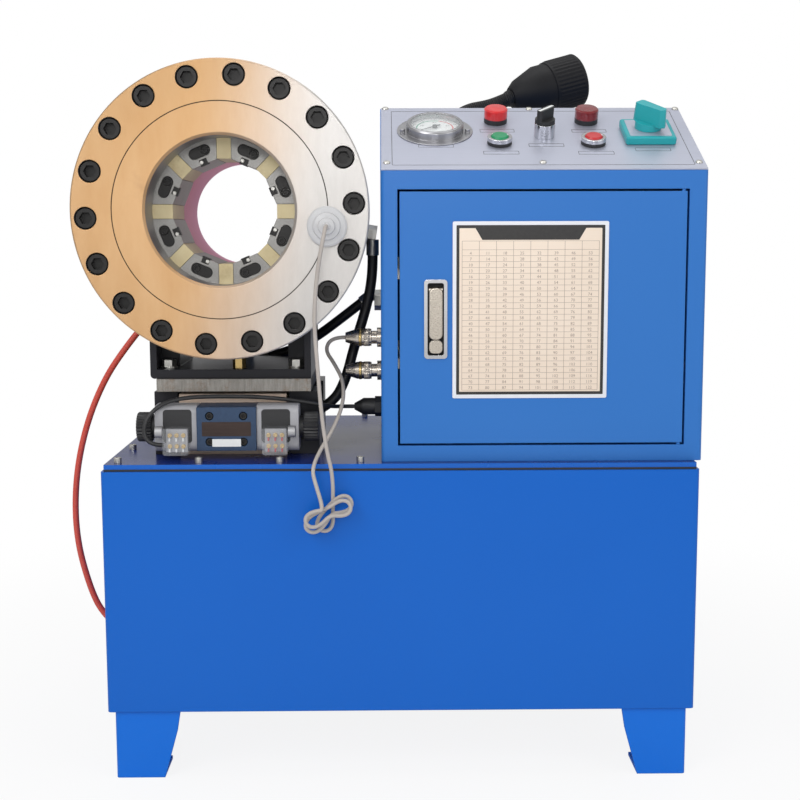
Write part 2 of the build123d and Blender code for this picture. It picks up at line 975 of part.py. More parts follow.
def shoe(index):
    """One shoe with its die retainer and the retainer's screw."""
    place = shoe_place(index, shoe_travel)
    rear_radius = closed_outer_radius - shoe_length * cone_slope
    cone = Pos(0, 0, shoe_front) * Cone(closed_outer_radius, rear_radius, shoe_length, align=low)
    side = tan(radians(half_step))
    inset = closed_shoe_gap / 2 / cos(radians(half_step))
    inner = closed_radius
    outer = closed_outer_radius + 1
    wedge = make_face(
        Polyline(
            (inner, -(inner * side - inset)),
            (outer, -(outer * side - inset)),
            (outer, outer * side - inset),
            (inner, inner * side - inset),
            close=True,
        )
    )
    body = cone & (Pos(0, 0, shoe_front - 1) * extrude(wedge, shoe_length + 2))
    for hand in (-1, 1):
        body -= shoe_pocket(hand)
    body -= block(
        inner - 1, inner + notch_depth, -notch_width / 2, notch_width / 2, shoe_front - 1, shoe_front + notch_length
    )
    seat = Pos(closed_radius + retainer_seat, 0, shoe_front) * Rot(0, 0, 90)
    body -= seat * extrude(SlotOverall(retainer_length, retainer_width), retainer_thickness)
    clip = seat * Pos(0, 0, retainer_sunk) * extrude(
        SlotOverall(retainer_length - 2 * retainer_clearance, retainer_width - 2 * retainer_clearance),
        retainer_thickness - retainer_sunk,
    )
    screw_place = seat * Pos((retainer_length - retainer_width) / 2, 0, 0)
    clip -= disc(screw_place, retainer_screw_radius + retainer_clearance, -1, retainer_thickness + 1)
    screw = disc(screw_place, retainer_screw_radius, 0, retainer_thickness)
    return together(*[place * item for item in (body, clip, screw)])


def shoe_pocket(hand):
    """The shallow seat of a spring block, cut in a closed shoe's side."""
    start = block_inner_radius - shoe_travel * (1 - sin(radians(half_step)) ** 2)
    edge = closed_shoe_gap / 2 + pocket_depth
    pocket = block(
        start - 2,
        start + block_height + 2,
        -edge,
        edge,
        shoe_front - 1,
        shoe_rear + 1,
    )
    return Rot(0, 0, hand * half_step) * pocket


def spring_blocks():
    """Polyurethane blocks that push the shoes apart again, one in each gap."""
    width = block_width / 2 - block_clearance
    blocks = []
    for index in range(shoe_count):
        place = head * Rot(0, 0, index * 2 * half_step)
        blocks.append(
            place
            * block(
                block_inner_radius,
                block_inner_radius + block_height,
                -width,
                width,
                shoe_front,
                shoe_rear,
            )
        )
    return together(*blocks)


# ---------------------------------------------------------------- stand


def riser_places():
    """Corner of each riser block under the base plate."""
    right = base_plate_x1 + 9 - riser_width - 8
    places = []
    for x0, x1 in ((riser_outer, riser_outer + riser_width), (right, right + riser_width + 8)):
        places.append((x0, x1, manifold_y0, manifold_y0 + riser_depth))
        places.append((x0, x1, base_plate_y1 - 3 - riser_depth, base_plate_y1 - 3))
    return places


def riser_blocks():
    risers = []
    for x0, x1, y0, y1 in riser_places():
        riser = block(x0, x1, y0, y1, cover_top, cover_top + riser_height)
        for x in mount_bolt_x:
            for y in mount_bolt_y:
                riser -= disc(upright(x, y, 0), mount_bolt_radius, cover_top + 20, base_plate_top)
        risers.append(riser)
    return together(*risers)


def base_plate():
    plate = block(
        base_plate_x0, base_plate_x1, base_plate_y0, base_plate_y1, base_plate_bottom, base_plate_top
    )
    for x in mount_bolt_x:
        for y in mount_bolt_y:
            plate -= disc(upright(x, y, 0), mount_bolt_radius, base_plate_bottom - 1, base_plate_top + 1)
    return plate


def saddle():
    """The welded cradle that the cylinder lies in: a slab and two cheeks."""
    x0 = saddle_x0
    x1 = base_plate_x1
    y0 = base_plate_y0 + 6
    y1 = base_plate_y1 - 6
    slab = block(x0, x1, y0, y1, base_plate_top, saddle_top)
    cheeks = block(x0, x0 + cheek_width, y0 + 40, y1 - 40, saddle_top, head_z)
    cheeks += block(x1 - cheek_width, x1, y0 + 40, y1 - 40, saddle_top, head_z)
    for x in (x0, x1 - cheek_web):
        cheeks += block(x, x + cheek_web, y0, y1, saddle_top, head_z)
    cheeks &= block(x0 - 1, x1 + 1, y0 - 1, y1 + 1, saddle_top - 1, saddle_top + cheek_height)
    solid = slab + cheeks
    corner = solid.edges().filter_by(Axis.Y).sort_by(lambda e: e.center().X + e.center().Z)[0]
    solid = fillet(corner, 5)
    solid -= disc(head, cylinder_radius, 0, head_length)
    for x in mount_bolt_x:
        for y in mount_bolt_y:
            solid -= disc(upright(x, y, 0), mount_bolt_radius, base_plate_top - 1, saddle_top + 1)
    return solid


def mount_bolts():
    """Hexagon bolts through saddle and base plate into the risers, and the spacers under the plate."""
    bolts = []
    for x in mount_bolt_x:
        for y in mount_bolt_y:
            place = upright(x, y, 0)
            bolt = disc(place, mount_bolt_radius, cover_top + 22, saddle_top)
            seat = saddle_top + mount_washer_thickness
            bolt += disc(place, mount_washer_radius, saddle_top, seat)
            bolt += hexagon(place, mount_washer_radius * 1.6, seat, seat + mount_bolt_head)
            spacer = hexagon(place, 20, cover_top + riser_height, base_plate_bottom)
            bolts += [bolt, spacer - disc(place, mount_bolt_radius, 0, base_plate_top)]
    return together(*bolts)


# ---------------------------------------------------------------- valve


def manifold():
    """The drilled block that the valve sits on, with its port on the right."""
    body = block(
        manifold_x0, manifold_x1, manifold_y0, manifold_y1, cover_top, cover_top + manifold_height
    )
    side = pointing(manifold_x1, *manifold_port, (1, 0, 0))
    return body - disc(side, 8, -20, 1)


def valve_axis_y():
    return manifold_y0 - valve_depth / 2


def valve_body():
    """The valve's body, bolted to the manifold's front, and its four screws."""
    body = block(
        valve_x - valve_width / 2,
        valve_x + valve_width / 2,
        manifold_y0 - valve_depth,
        manifold_y0,
        valve_z - valve_height / 2,
        valve_z + valve_height / 2,
    )
    screws = []
    for x in (-valve_screw_x, valve_screw_x):
        for z in (-valve_screw_z, valve_screw_z):
            place = pointing(valve_x + x, manifold_y0 - valve_depth, valve_z + z, (0, 1, 0))
            body -= disc(place, 5, -1, 6)
            screws.append(disc(place, 4.2, 1, 6))
    return together(body, *screws)


def solenoids():
    """A coil at each end of the valve, and its plug with a clear cover."""
    items = []
    y = valve_axis_y()
    for side in (-1, 1):
        start = valve_x + side * valve_width / 2
        end = start + side * coil_length
        x0, x1 = min(start, end), max(start, end)
        coil = block(x0, x1, y - coil_depth / 2, y + coil_depth / 2, valve_z - coil_height / 2, valve_z + coil_height / 2)
        coil = fillet(coil.edges().filter_by(Axis.X), 9)
        items.append(coil)
        centre = (x0 + x1) / 2 - side * 2
        front = y - coil_depth / 2
        plug = block(centre - 15, centre + 15, front - 20, front, valve_z - 29, valve_z + 3)
        plug = fillet(plug.edges().filter_by(Axis.Y), 3)
        items.append(plug)
    return together(*items)


def coil_nuts():
    """Many-sided nuts that clamp the coils."""
    nuts = []
    for side in (-1, 1):
        start = valve_x + side * (valve_width / 2 + coil_length)
        place = pointing(start, valve_axis_y(), valve_z, (side, 0, 0))
        grip = place * Pos(0, 0, 5) * extrude(RegularPolygon(knob_radius, knob_sides), knob_length)
        nuts.append(disc(place, knob_radius - 5, 0, 5) + grip)
    return together(*nuts)


# ---------------------------------------------------------------- hydraulics and cables


def unit(vector):
    length = hypot(*vector)
    return tuple(part / length for part in vector)





def head_port(angle, depth):
    """A port on the cylinder's outside, z outwards; the angle runs clockwise from the top."""
    turn = radians(angle)
    x = head_x + cylinder_radius * sin(turn)
    z = head_z + cylinder_radius * cos(turn)
    return pointing(x, head_y + depth, z, (sin(turn), 0, cos(turn)))


# The routes' points, one list per hose or cable, from end to end
feed_route = [
    (-33.0, 175.0, 620.0),
    (-33.0, 175.0, 593.0),
    (-42.0, 173.0, 551.0),
    (-57.0, 169.0, 505.0),
    (-68.0, 163.0, 462.0),
    (-85.0, 160.0, 432.0),
    (-111.0, 160.0, 420.0),
]
return_route = [
    (-48.0, 240.0, 557.0),
    (-75.0, 243.0, 536.0),
    (-111.0, 253.5, 509.0),
    (-147.0, 260.5, 490.0),
    (-173.0, 264.0, 484.0),
]
drain_route = [
    (-330.3, 165.0, 525.8),
    (-349.6, 165.0, 502.8),
    (-378.0, 165.0, 461.0),
    (-403.0, 165.0, 401.0),
    (-418.0, 165.0, 331.0),
    (-419.0, 165.0, 258.0),
    (-404.0, 165.0, 193.0),
    (-388.0, 165.0, 156.0),
    (-370.0, 165.0, 140.0),
]
drop_route = [
    (-83.6, -17.5, 656.0),
    (-83.6, -31.0, 656.0),
    (-85.5, -39.5, 645.5),
    (-89.5, -38.0, 626.0),
    (-95.0, -28.0, 594.0),
    (-98.5, -20.0, 548.0),
    (-95.0, -17.5, 498.0),
    (-91.5, -16.5, 446.0),
    (-86.0, -16.0, 402.0),
    (-78.5, -16.0, 371.0),
    (-78.5, -16.0, 351.0),
]
rise_route = [
    (-99.0, -16.0, 351.0),
    (-99.0, -16.0, 362.0),
    (-103.0, -11.0, 377.0),
    (-95.0, 1.0, 396.0),
    (-80.0, 20.0, 418.0),
    (-68.0, 46.0, 445.0),
    (-68.0, 74.0, 470.0),
    (-80.0, 94.0, 490.0),
    (-92.0, 106.0, 506.0),
    (-83.0, 110.0, 520.7),
    (-66.5, 110.0, 520.7),
]
valve_cable_route = [
    (-279.3, 24.0, 401.0),
    (-293.5, 24.0, 401.0),
    (-303.0, 25.0, 413.0),
    (-300.0, 27.0, 432.0),
    (-283.0, 34.0, 449.0),
    (-255.0, 46.0, 455.0),
    (-215.0, 54.0, 455.0),
    (-172.0, 56.5, 454.0),
    (-130.0, 58.0, 450.0),
    (-92.0, 68.0, 442.0),
    (-82.0, 93.0, 437.0),
    (-71.5, 110.0, 434.9),
    (-56.0, 110.0, 434.9),
]


def corner_radii(points):
    """0.45 of the shorter run over the tangent of half the turn, at each inner point."""
    radii = []
    for before, at, after in zip(points, points[1:], points[2:]):
        first = Vector(*at) - Vector(*before)
        second = Vector(*after) - Vector(*at)
        turn = radians(first.get_angle(second))
        radii.append(0.45 * min(first.length, second.length) / tan(turn / 2))
    return radii


def tube(name, points, radius):
    """A hose or cable: straight runs joined by tangent arcs, swept with a round section."""
    radii = corner_radii(points)
    print(name, "bend radii", [round(value) for value in radii])
    path = FilletPolyline(*points, radius=radii)
    start = Plane(origin=points[0], z_dir=Vector(*points[1]) - Vector(*points[0]))
    solid = sweep(start * Circle(radius), path=path)
    print(name, "volume over section times length", round(solid.volume / (3.14159265 * radius**2 * path.length), 4))
    return solid


def feed_hose():
    return tube("feed_hose", feed_route, hose_radius)


def return_hose():
    return tube("return_hose", return_route, hose_radius)


def drain_hose():
    return tube("drain_hose", drain_route, drain_hose_radius)


def sensor_cable_drop():
    return tube("sensor_cable_drop", drop_route, cable_radius)


def sensor_cable_rise():
    return tube("sensor_cable_rise", rise_route, cable_radius)


def valve_cable():
    return tube("valve_cable", valve_cable_route, valve_cable_radius)


def sensor_cable_hank():
    """The outer shape of the tied hank that the sensor's spare cable is wound into."""
    place = Plane(origin=(-85.5, -16.0, 326.5), x_dir=(1, 0, 0), z_dir=(0, -1, 0))
    loop = place * Pos(0, 0, -9) * extrude(RectangleRounded(55, 49, 14), 18)
    return loop


def magnet_sensor():
    """The round magnetic sensor on the flange, with the cable's boot in its middle."""
    place = head * Pos(122.4, 18.0, 0) * Rot(180, 0, 0)
    return turned(
        place,
        [
            (0, 0),
            (23, 0),
            (23, 6),
            (21, 8),
            (16, 9),
            (15, 14),
            (10, 16),
            (9, 21),
            (4.5, 22),
            (4, 25.5),
            (0, 25.5),
        ],
    )


def wall_holes():
    """Holes in the cabinet's left wall: y, z and radius."""
    return [(110.0, 520.7, 8.0), (110.0, 479.8, 8.0), (110.0, 434.9, 8.0), (240.0, 560.0, 9.0)]


def wall_connector(y, z):
    """A quick connector on the cabinet's wall, its plug pushed home."""
    return turned(
        pointing(cabinet_x0, y, z, (-1, 0, 0)),
        [
            (0, -wall_reach),
            (7.8, -wall_reach),
            (7.8, 0),
            (12, 0),
            (12, 5),
            (8, 5),
            (8, 12),
            (10.5, 12),
            (10.5, 30),
            (6, 44),
            (0, 44),
        ],
    )


def cable_gland(y, z):
    """The gland that the valve's cable goes through."""
    place = pointing(cabinet_x0, y, z, (-1, 0, 0))
    barrel = turned(
        place, [(0, -wall_reach), (7.8, -wall_reach), (7.8, 8), (10.5, 8), (10.5, 22), (4, 33.5), (0, 33.5)]
    )
    return hexagon(place, 22, 0, 8) + barrel


def hose_fittings():
    """Connectors and glands on the cabinet's wall, and the hoses' screwed ends."""
    sensor_socket, spare_socket, valve_gland, bulkhead = [hole[:2] for hole in wall_holes()]
    items = [wall_connector(*sensor_socket), wall_connector(*spare_socket), cable_gland(*valve_gland)]
    wall = pointing(cabinet_x0, *bulkhead, (-1, 0, 0))
    nipple = end_nipple(return_route, hose_radius, nipple_length)
    items.append(disc(wall, 8.8, -wall_reach, 0) + hexagon(wall, 24, 0, 9) + nipple)
    boss = screwed_end(head_port(*feed_port), 20, 12 + port_seat, -port_seat)
    items.append(boss + end_nipple(feed_route, hose_radius, nipple_length))
    boss = screwed_end(head_port(*return_port), 20, 34 + port_seat, -port_seat)
    items.append(boss + end_nipple(return_route[::-1], hose_radius, nipple_length + 8))
    boss = screwed_end(head_port(*drain_port), 17, 14 + port_seat, -port_seat)
    items.append(boss + end_nipple(drain_route, drain_hose_radius, nipple_length))
    tank_side = pointing(-tank_width / 2, 165.0, 134.0, (-1, 0, 0))
    nipple = end_nipple(drain_route[::-1], drain_hose_radius, 14)
    items.append(screwed_end(tank_side, 17, 14, 0) + nipple)
    side = pointing(manifold_x1, *manifold_port, (1, 0, 0))
    nipple = end_nipple(feed_route[::-1], hose_radius, nipple_length)
    items.append(disc(side, 8, -18, 0) + screwed_end(side, 22, 13, 0) + nipple)
    return together(*items)


def end_nipple(route, radius, length):
    """A crimped hose end, from the route's first point back along its first run."""
    back = Vector(*route[0]) - Vector(*route[1])
    return disc(pointing(*route[0], back), radius + nipple_wall, 0, length)


def screwed_end(place, across_flats, length, start):
    """A hexagon screwed onto its seat."""
    return hexagon(place, across_flats, start, start + length)


# ---------------------------------------------------------------- motor and pump


def motor():
    """A finned flange motor standing on the cover plate, open inside for its rotor."""
    place = upright(motor_x, motor_y, cover_top)
    shell = disc(place, motor_radius, 14, motor_height - 60)
    for index in range(motor_fins):
        fin = place * Rot(0, 0, index * 360 / motor_fins) * block(
            motor_radius - 4, motor_fin_radius, -1.5, 1.5, 22, motor_height - 70
        )
        shell += fin
    flange = disc(place, motor_fin_radius + 2, 0, 14)
    hood = disc(place, motor_radius + 6, motor_height - 62, motor_height)
    hood -= disc(place, motor_radius + 4, motor_height - 60, motor_height - 2)
    for index in range(12):
        slot = place * Rot(0, 0, index * 30) * Pos(50, 0, motor_height) * Box(46, 8, 12)
        hood -= slot
    box = place * block(motor_fin_radius - 14, motor_fin_radius + 24, -34, 34, 90, 170)
    body = shell + flange + box + hood
    body -= disc(place, rotor_radius + rotor_gap, 40, motor_height - 80)
    return body - disc(place, shaft_radius + running_clearance, -1, motor_height - 20)


def motor_rotor():
    """Rotor core, through shaft and the fan under the hood."""
    place = upright(motor_x, motor_y, cover_top)
    solid = disc(place, shaft_radius, -shaft_reach, motor_height - 14)
    solid += disc(place, rotor_radius, 44, motor_height - 84)
    solid += disc(place, 24, motor_height - 54, motor_height - 20)
    for index in range(8):
        blade = place * Rot(0, 0, index * 45) * block(
            20, motor_radius - 8, -1.5, 1.5, motor_height - 50, motor_height - 22
        )
        solid += blade
    return solid


def pump():
    """Gear pump hung from the cover inside the tank, with its suction strainer."""
    place = upright(motor_x, motor_y, cover_bottom)
    body = place * Pos(0, 0, -pump_height) * Box(pump_width, pump_depth, pump_height, align=low)
    body -= disc(place, shaft_radius + running_clearance, -shaft_reach, 1)
    below = place * Pos(-strainer_offset, 0, 0)
    strainer = disc(below, strainer_radius, -strainer_bottom, -strainer_top)
    strainer += disc(below, strainer_pipe_radius, -strainer_top - 10, 5 - pump_height)
    return body + strainer


# ---------------------------------------------------------------- lamp


def lamp_head_place():
    return pointing(*lamp_ball, lamp_direction)


lamp_direction = unit((0.915, 0.29, 0.27))
lamp_ball = (164.0, 425.0, 840.0)
lamp_neck_route = [
    (72.0, 420.0, 778.0),
    (72.0, 420.0, 800.0),
    (100.0, 420.0, 822.0),
    (135.0, 421.5, 828.0),
    lamp_ball,
]


def lamp_base():
    """The bracket on the cabinet's back wall and the socket that the neck turns in."""
    wall = cabinet_y1 + back_sheet
    plate = block(lamp_x - 24, lamp_x + 24, wall, wall + 3, lamp_z - 36, lamp_z + 10)
    arm = block(lamp_x - 14, lamp_x + 14, wall + 3, lamp_y, lamp_z - 20, lamp_z - 6)
    post = disc(upright(lamp_x, lamp_y, lamp_z), 14, -20, -6)
    solid = plate + arm + post
    return solid - disc(upright(lamp_x, lamp_y, lamp_z), 5 + running_clearance, -30, 0)


def lamp_neck():
    """The corrugated arm, with its pivot pin below and a ball at its end."""
    path = FilletPolyline(*lamp_neck_route, radius=corner_radii(lamp_neck_route))
    start = upright(*lamp_neck_route[0])
    arm = sweep(start * Circle(lamp_neck_radius), path=path)
    arm += disc(start, 13, -5.7, 0.5)
    arm += disc(start, 5, -18, -5)
    return arm + Pos(*lamp_ball) * Sphere(lamp_ball_radius)


def lamp_head():
    """Lamp shell with its front collar; the lens lies just inside the rim."""
    r = lamp_rim_radius
    place = lamp_head_place()
    shell = turned(
        place,
        [
            (0, 2),
            (15, 2),
            (23, 12),
            (r - 3, 44),
            (r - 3, 60),
            (r, 60),
            (r, lamp_length - 3),
            (r - 3, lamp_length),
            (r - 4, lamp_length - 2),
            (0, lamp_length - 2),
        ],
    )
    return shell - place * Sphere(lamp_ball_radius + 0.3)


nodes = {
    "tank": tank,
    "tank_feet": tank_feet,
    "cover_gasket": cover_gasket,
    "tank_cover": tank_cover,
    "cover_bolts": cover_bolts,
    "tank_fittings": tank_fittings,
    "cabinet": cabinet,
    "cabinet_back": cabinet_back,
    "control_panel": control_panel,
    "die_shelves": die_shelves,
    "door": door,
    "latch_case": latch_case,
    "latch_lever": latch_lever,
    "latch_button": latch_button,
    "gauge_case": gauge_case,
    "gauge_glass": gauge_glass,
    "gauge_needle": gauge_needle,
    "panel_collars": panel_collars,
    "pilot_lenses": pilot_lenses,
    "start_button": start_button,
    "stop_button": stop_button,
    "selector_knob": selector_knob,
    "cam_switch_knob": cam_switch_knob,
    "front_flange": front_flange,
    "cylinder": cylinder,
    "rear_cover": rear_cover,
    "head_screws": head_screws,
    "piston": piston,
    "spring_blocks": spring_blocks,
    "riser_blocks": riser_blocks,
    "base_plate": base_plate,
    "saddle": saddle,
    "mount_bolts": mount_bolts,
    "manifold": manifold,
    "valve_body": valve_body,
    "solenoids": solenoids,
    "coil_nuts": coil_nuts,
    "hose_fittings": hose_fittings,
    "feed_hose": feed_hose,
    "return_hose": return_hose,
    "drain_hose": drain_hose,
    "sensor_cable_drop": sensor_cable_drop,
    "sensor_cable_hank": sensor_cable_hank,
    "sensor_cable_rise": sensor_cable_rise,
    "magnet_sensor": magnet_sensor,
    "valve_cable": valve_cable,
    "motor": motor,
    "motor_rotor": motor_rotor,
    "pump": pump,
    "lamp_base": lamp_base,
    "lamp_neck": lamp_neck,
    "lamp_head": lamp_head,
}

cord_nodes = (
    "feed_hose",
    "return_hose",
    "drain_hose",
    "sensor_cable_drop",
    "sensor_cable_hank",
    "sensor_cable_rise",
    "valve_cable",
)


def main():
    os.makedirs("parts", exist_ok=True)
    made = {name: make() for name, make in nodes.items()}
    for index in range(shoe_count):
        made[f"shoe_{index + 1}"] = shoe(index)
    rigid = [shape for name, shape in made.items() if name not in cord_nodes]
    boxes = [shape.bounding_box() for shape in rigid]
    x = (min(b.min.X for b in boxes) + max(b.max.X for b in boxes)) / 2
    y = (min(b.min.Y for b in boxes) + max(b.max.Y for b in boxes)) / 2
    print("origin stands at", round(x, 3), round(y, 3))
    for name, shape in made.items():
        export_step(shape.moved(Location((-x, -y, 0))), f"parts/{name}.step")


main()
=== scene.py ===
import bmesh
import bpy
from math import atan2, cos, pi, radians, sin, tau
from mathutils import Matrix, Vector

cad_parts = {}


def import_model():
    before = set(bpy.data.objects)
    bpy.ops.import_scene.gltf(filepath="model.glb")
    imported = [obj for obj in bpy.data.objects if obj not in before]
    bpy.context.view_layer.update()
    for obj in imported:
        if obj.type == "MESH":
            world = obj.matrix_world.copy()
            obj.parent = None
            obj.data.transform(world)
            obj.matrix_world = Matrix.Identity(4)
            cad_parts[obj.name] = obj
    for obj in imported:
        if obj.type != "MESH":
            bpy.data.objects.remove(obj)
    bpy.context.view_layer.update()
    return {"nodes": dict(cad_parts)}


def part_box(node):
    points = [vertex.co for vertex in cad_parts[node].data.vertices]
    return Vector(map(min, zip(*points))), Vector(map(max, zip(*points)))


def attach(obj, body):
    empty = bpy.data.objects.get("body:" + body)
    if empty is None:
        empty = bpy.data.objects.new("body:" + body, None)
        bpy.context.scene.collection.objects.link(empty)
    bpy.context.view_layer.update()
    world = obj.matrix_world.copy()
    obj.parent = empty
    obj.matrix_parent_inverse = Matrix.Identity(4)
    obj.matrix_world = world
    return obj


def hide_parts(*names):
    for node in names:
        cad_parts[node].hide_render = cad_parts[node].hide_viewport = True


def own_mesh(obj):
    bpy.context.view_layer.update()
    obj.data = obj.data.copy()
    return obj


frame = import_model()
nodes = frame["nodes"]

# The machine's own axes, in millimetres: x from the tank's middle, y from its
# front face and z from the floor. at() turns them into the frame's metres.
tank_low, tank_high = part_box("tank")
datum = Vector(((tank_low.x + tank_high.x) / 2, tank_low.y, 0))
flange_low, flange_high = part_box("front_flange")
cabinet_low, cabinet_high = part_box("cabinet")


def at(x, y, z):
    return datum + Vector((x, y, z)) / 1000


def mm(point):
    return (point - datum) * 1000


head_centre = Vector(
    ((flange_low.x + flange_high.x) / 2, flange_low.y, (flange_low.z + flange_high.z) / 2)
)
# The circle scribed on the flange's face, in millimetres
scribed_radius = 123.5
# The panel's slope in metres, and the column and row of each control on it in millimetres
panel_run = 0.173
panel_rise = 0.085
panel_lean = atan2(panel_rise, panel_run)
panel_thickness = 0.0015
panel_corner = Vector((cabinet_low.x, cabinet_low.y, cabinet_high.z - panel_rise))
gauge_at = (66.4, 114.6)
start_at = (142.5, 76.5)
left_lamp_at = (142.5, 145.0)
selector_at = (198.0, 99.0)
stop_at = (254.5, 75.5)
right_lamp_at = (254.5, 144.0)
cam_switch_at = (323.0, 99.5)


# ---- materials


class Socket:
    """A node's output, with arithmetic that adds Math nodes."""

    def __init__(self, graph, output):
        self.graph = graph
        self.output = output

    def math(self, operation, *values):
        inputs = {index: value for index, value in enumerate(values)}
        return self.graph.node("Math", {"operation": operation}, inputs)

    def __add__(self, other):
        return self.math("ADD", self, other)

    def __radd__(self, other):
        return self.math("ADD", other, self)

    def __sub__(self, other):
        return self.math("SUBTRACT", self, other)

    def __rsub__(self, other):
        return self.math("SUBTRACT", other, self)

    def __mul__(self, other):
        return self.math("MULTIPLY", self, other)

    def __rmul__(self, other):
        return self.math("MULTIPLY", other, self)

    def sine(self):
        return self.math("SINE", self)

    def absolute(self):
        return self.math("ABSOLUTE", self)

    def ramp(self, low, high):
        """0 below low, 1 above high, smooth between; low may be the larger."""
        inputs = {"Value": self, "From Min": low, "From Max": high}
        return self.graph.node("MapRange", {"interpolation_type": "SMOOTHSTEP"}, inputs)

    def band(self, centre, half_width, edge):
        """1 within half_width of centre."""
        return (self - centre).absolute().ramp(half_width + edge, half_width)

    def mix(self, first, second):
        """Colour from first to second as this value goes from 0 to 1."""
        settings = {"data_type": "RGBA"}
        return self.graph.node("Mix", settings, {0: self, 6: first, 7: second}, 2)

    def part(self, index):
        """One component of a vector."""
        return self.graph.node("SeparateXYZ", {}, {0: self}, index)


class Graph:
    """A material's nodes, ending in one Principled shader."""

    def __init__(self, name):
        self.material = bpy.data.materials.new(name)
        self.material.use_nodes = True
        self.tree = self.material.node_tree
        self.shader = self.tree.nodes["Principled BSDF"]
        self.coords = self.node("TexCoord", output=3)

    def feed(self, socket, value):
        if isinstance(value, Socket):
            self.tree.links.new(value.output, socket)
        elif isinstance(value, (tuple, list)) and socket.type == "RGBA":
            socket.default_value = (*value[:3], 1.0)
        else:
            socket.default_value = value

    def node(self, kind, settings=None, inputs=None, output=0):
        made = self.tree.nodes.new("ShaderNode" + kind)
        for name, value in (settings or {}).items():
            setattr(made, name, value)
        for name, value in (inputs or {}).items():
            self.feed(made.inputs[name], value)
        return Socket(self, made.outputs[output])

    def noise(self, scale, detail=3.0, rough=0.5, vector=None):
        inputs = {"Vector": vector or self.coords, "Scale": scale}
        inputs.update({"Detail": detail, "Roughness": rough})
        return self.node("TexNoise", {}, inputs)

    def stretched(self, x, y, z):
        """The coordinates scaled along each axis, for brushed or streaked patterns."""
        inputs = {0: self.coords, 1: (x, y, z)}
        return self.node("VectorMath", {"operation": "MULTIPLY"}, inputs)

    def relative(self, origin):
        inputs = {0: self.coords, 1: tuple(origin)}
        return self.node("VectorMath", {"operation": "SUBTRACT"}, inputs)

    def distance(self, vector):
        return self.node("VectorMath", {"operation": "LENGTH"}, {0: vector}, 1)

    def edges(self, radius):
        """The normal rounded over sharp edges."""
        return self.node("Bevel", {"samples": 4}, {"Radius": radius})

    def bump(self, height, strength, distance, normal=None):
        inputs = {"Height": height, "Strength": strength, "Distance": distance}
        if normal:
            inputs["Normal"] = normal
        return self.node("Bump", {}, inputs)

    def surface(self, **values):
        for name, value in values.items():
            self.feed(self.shader.inputs[name.replace("_", " ")], value)
        return self.material


materials = {}


def coat(name, maker, *values):
    """A finish by name, made the first time it is asked for."""

    def get():
        if name not in materials:
            materials[name] = maker(Graph(name), *values)
        return materials[name]

    return get


def finish_of(maker):
    """A finish under its function's name."""
    return coat(maker.__name__, maker)


def enamel(g, colour, shade, worn=0.0):
    """Sprayed gloss enamel: orange peel, slow tone change and patches of dust."""
    tone = g.noise(3.0, 2.0)
    peel = g.noise(420.0, 2.0, 0.6)
    dust = g.noise(60.0, 5.0, 0.7).ramp(0.62, 0.85)
    base = (tone * 0.6 + dust * worn).mix(colour, shade)
    return g.surface(
        Base_Color=base,
        Roughness=0.27 + tone * 0.1 + dust * 0.15,
        Specular_IOR_Level=0.15,
        Coat_Weight=0.18,
        Coat_Roughness=0.3,
        Normal=g.bump(peel, 0.06, 0.0006, g.edges(0.0016)),
    )


blue_enamel = coat("blue_enamel", enamel, (0.002, 0.108, 0.5), (0.005, 0.135, 0.57), 0.25)
# The cabinet's paint, a little paler than the tank's
cabinet_enamel = coat("cabinet_enamel", enamel, (0.026, 0.16, 0.5), (0.045, 0.185, 0.55), 0.2)
# The feet's paint, a shade brighter than the tank's
feet_enamel = coat("feet_enamel", enamel, (0.003, 0.14, 0.62), (0.006, 0.165, 0.7), 0.15)


@finish_of
def cover_enamel(g):
    """The cover plate: blue on its edges; on top the same blue darkened as painted shade and
    reflection, with oily smears.
    """
    # Painted shade and reflection: faces that look up take the dark top colour
    top_shade_mask = g.node("NewGeometry", output=1).part(2).ramp(0.3, 0.8)
    smear = g.noise(7.0, 5.0, 0.6)
    top = smear.mix((0.006, 0.016, 0.13), (0.022, 0.05, 0.26))
    return g.surface(
        Base_Color=top_shade_mask.mix((0.003, 0.11, 0.5), top),
        Roughness=0.16 + smear * 0.22,
        Specular_IOR_Level=0.3,
        Coat_Weight=0.1,
        Coat_Roughness=0.08,
        Normal=g.bump(smear, 0.1, 0.0006, g.edges(0.0008)),
    )


black_enamel = coat("black_enamel", enamel, (0.012, 0.012, 0.016), (0.03, 0.03, 0.035), 0.6)


@finish_of
def valve_enamel(g):
    grain = g.noise(300.0, 4.0)
    base = grain.mix((0.008, 0.028, 0.075), (0.022, 0.06, 0.13))
    return g.surface(
        Base_Color=base,
        Roughness=0.38 + grain * 0.2,
        Normal=g.bump(grain, 0.25, 0.0004, g.edges(0.0012)),
    )


def from_head_axis(g):
    """The offset from the middle of the head's face, and the distance from its axis."""
    offset = g.relative(head_centre)
    flat = g.node("VectorMath", {"operation": "MULTIPLY"}, {0: offset, 1: (1.0, 0.0, 1.0)})
    return offset, g.distance(flat)


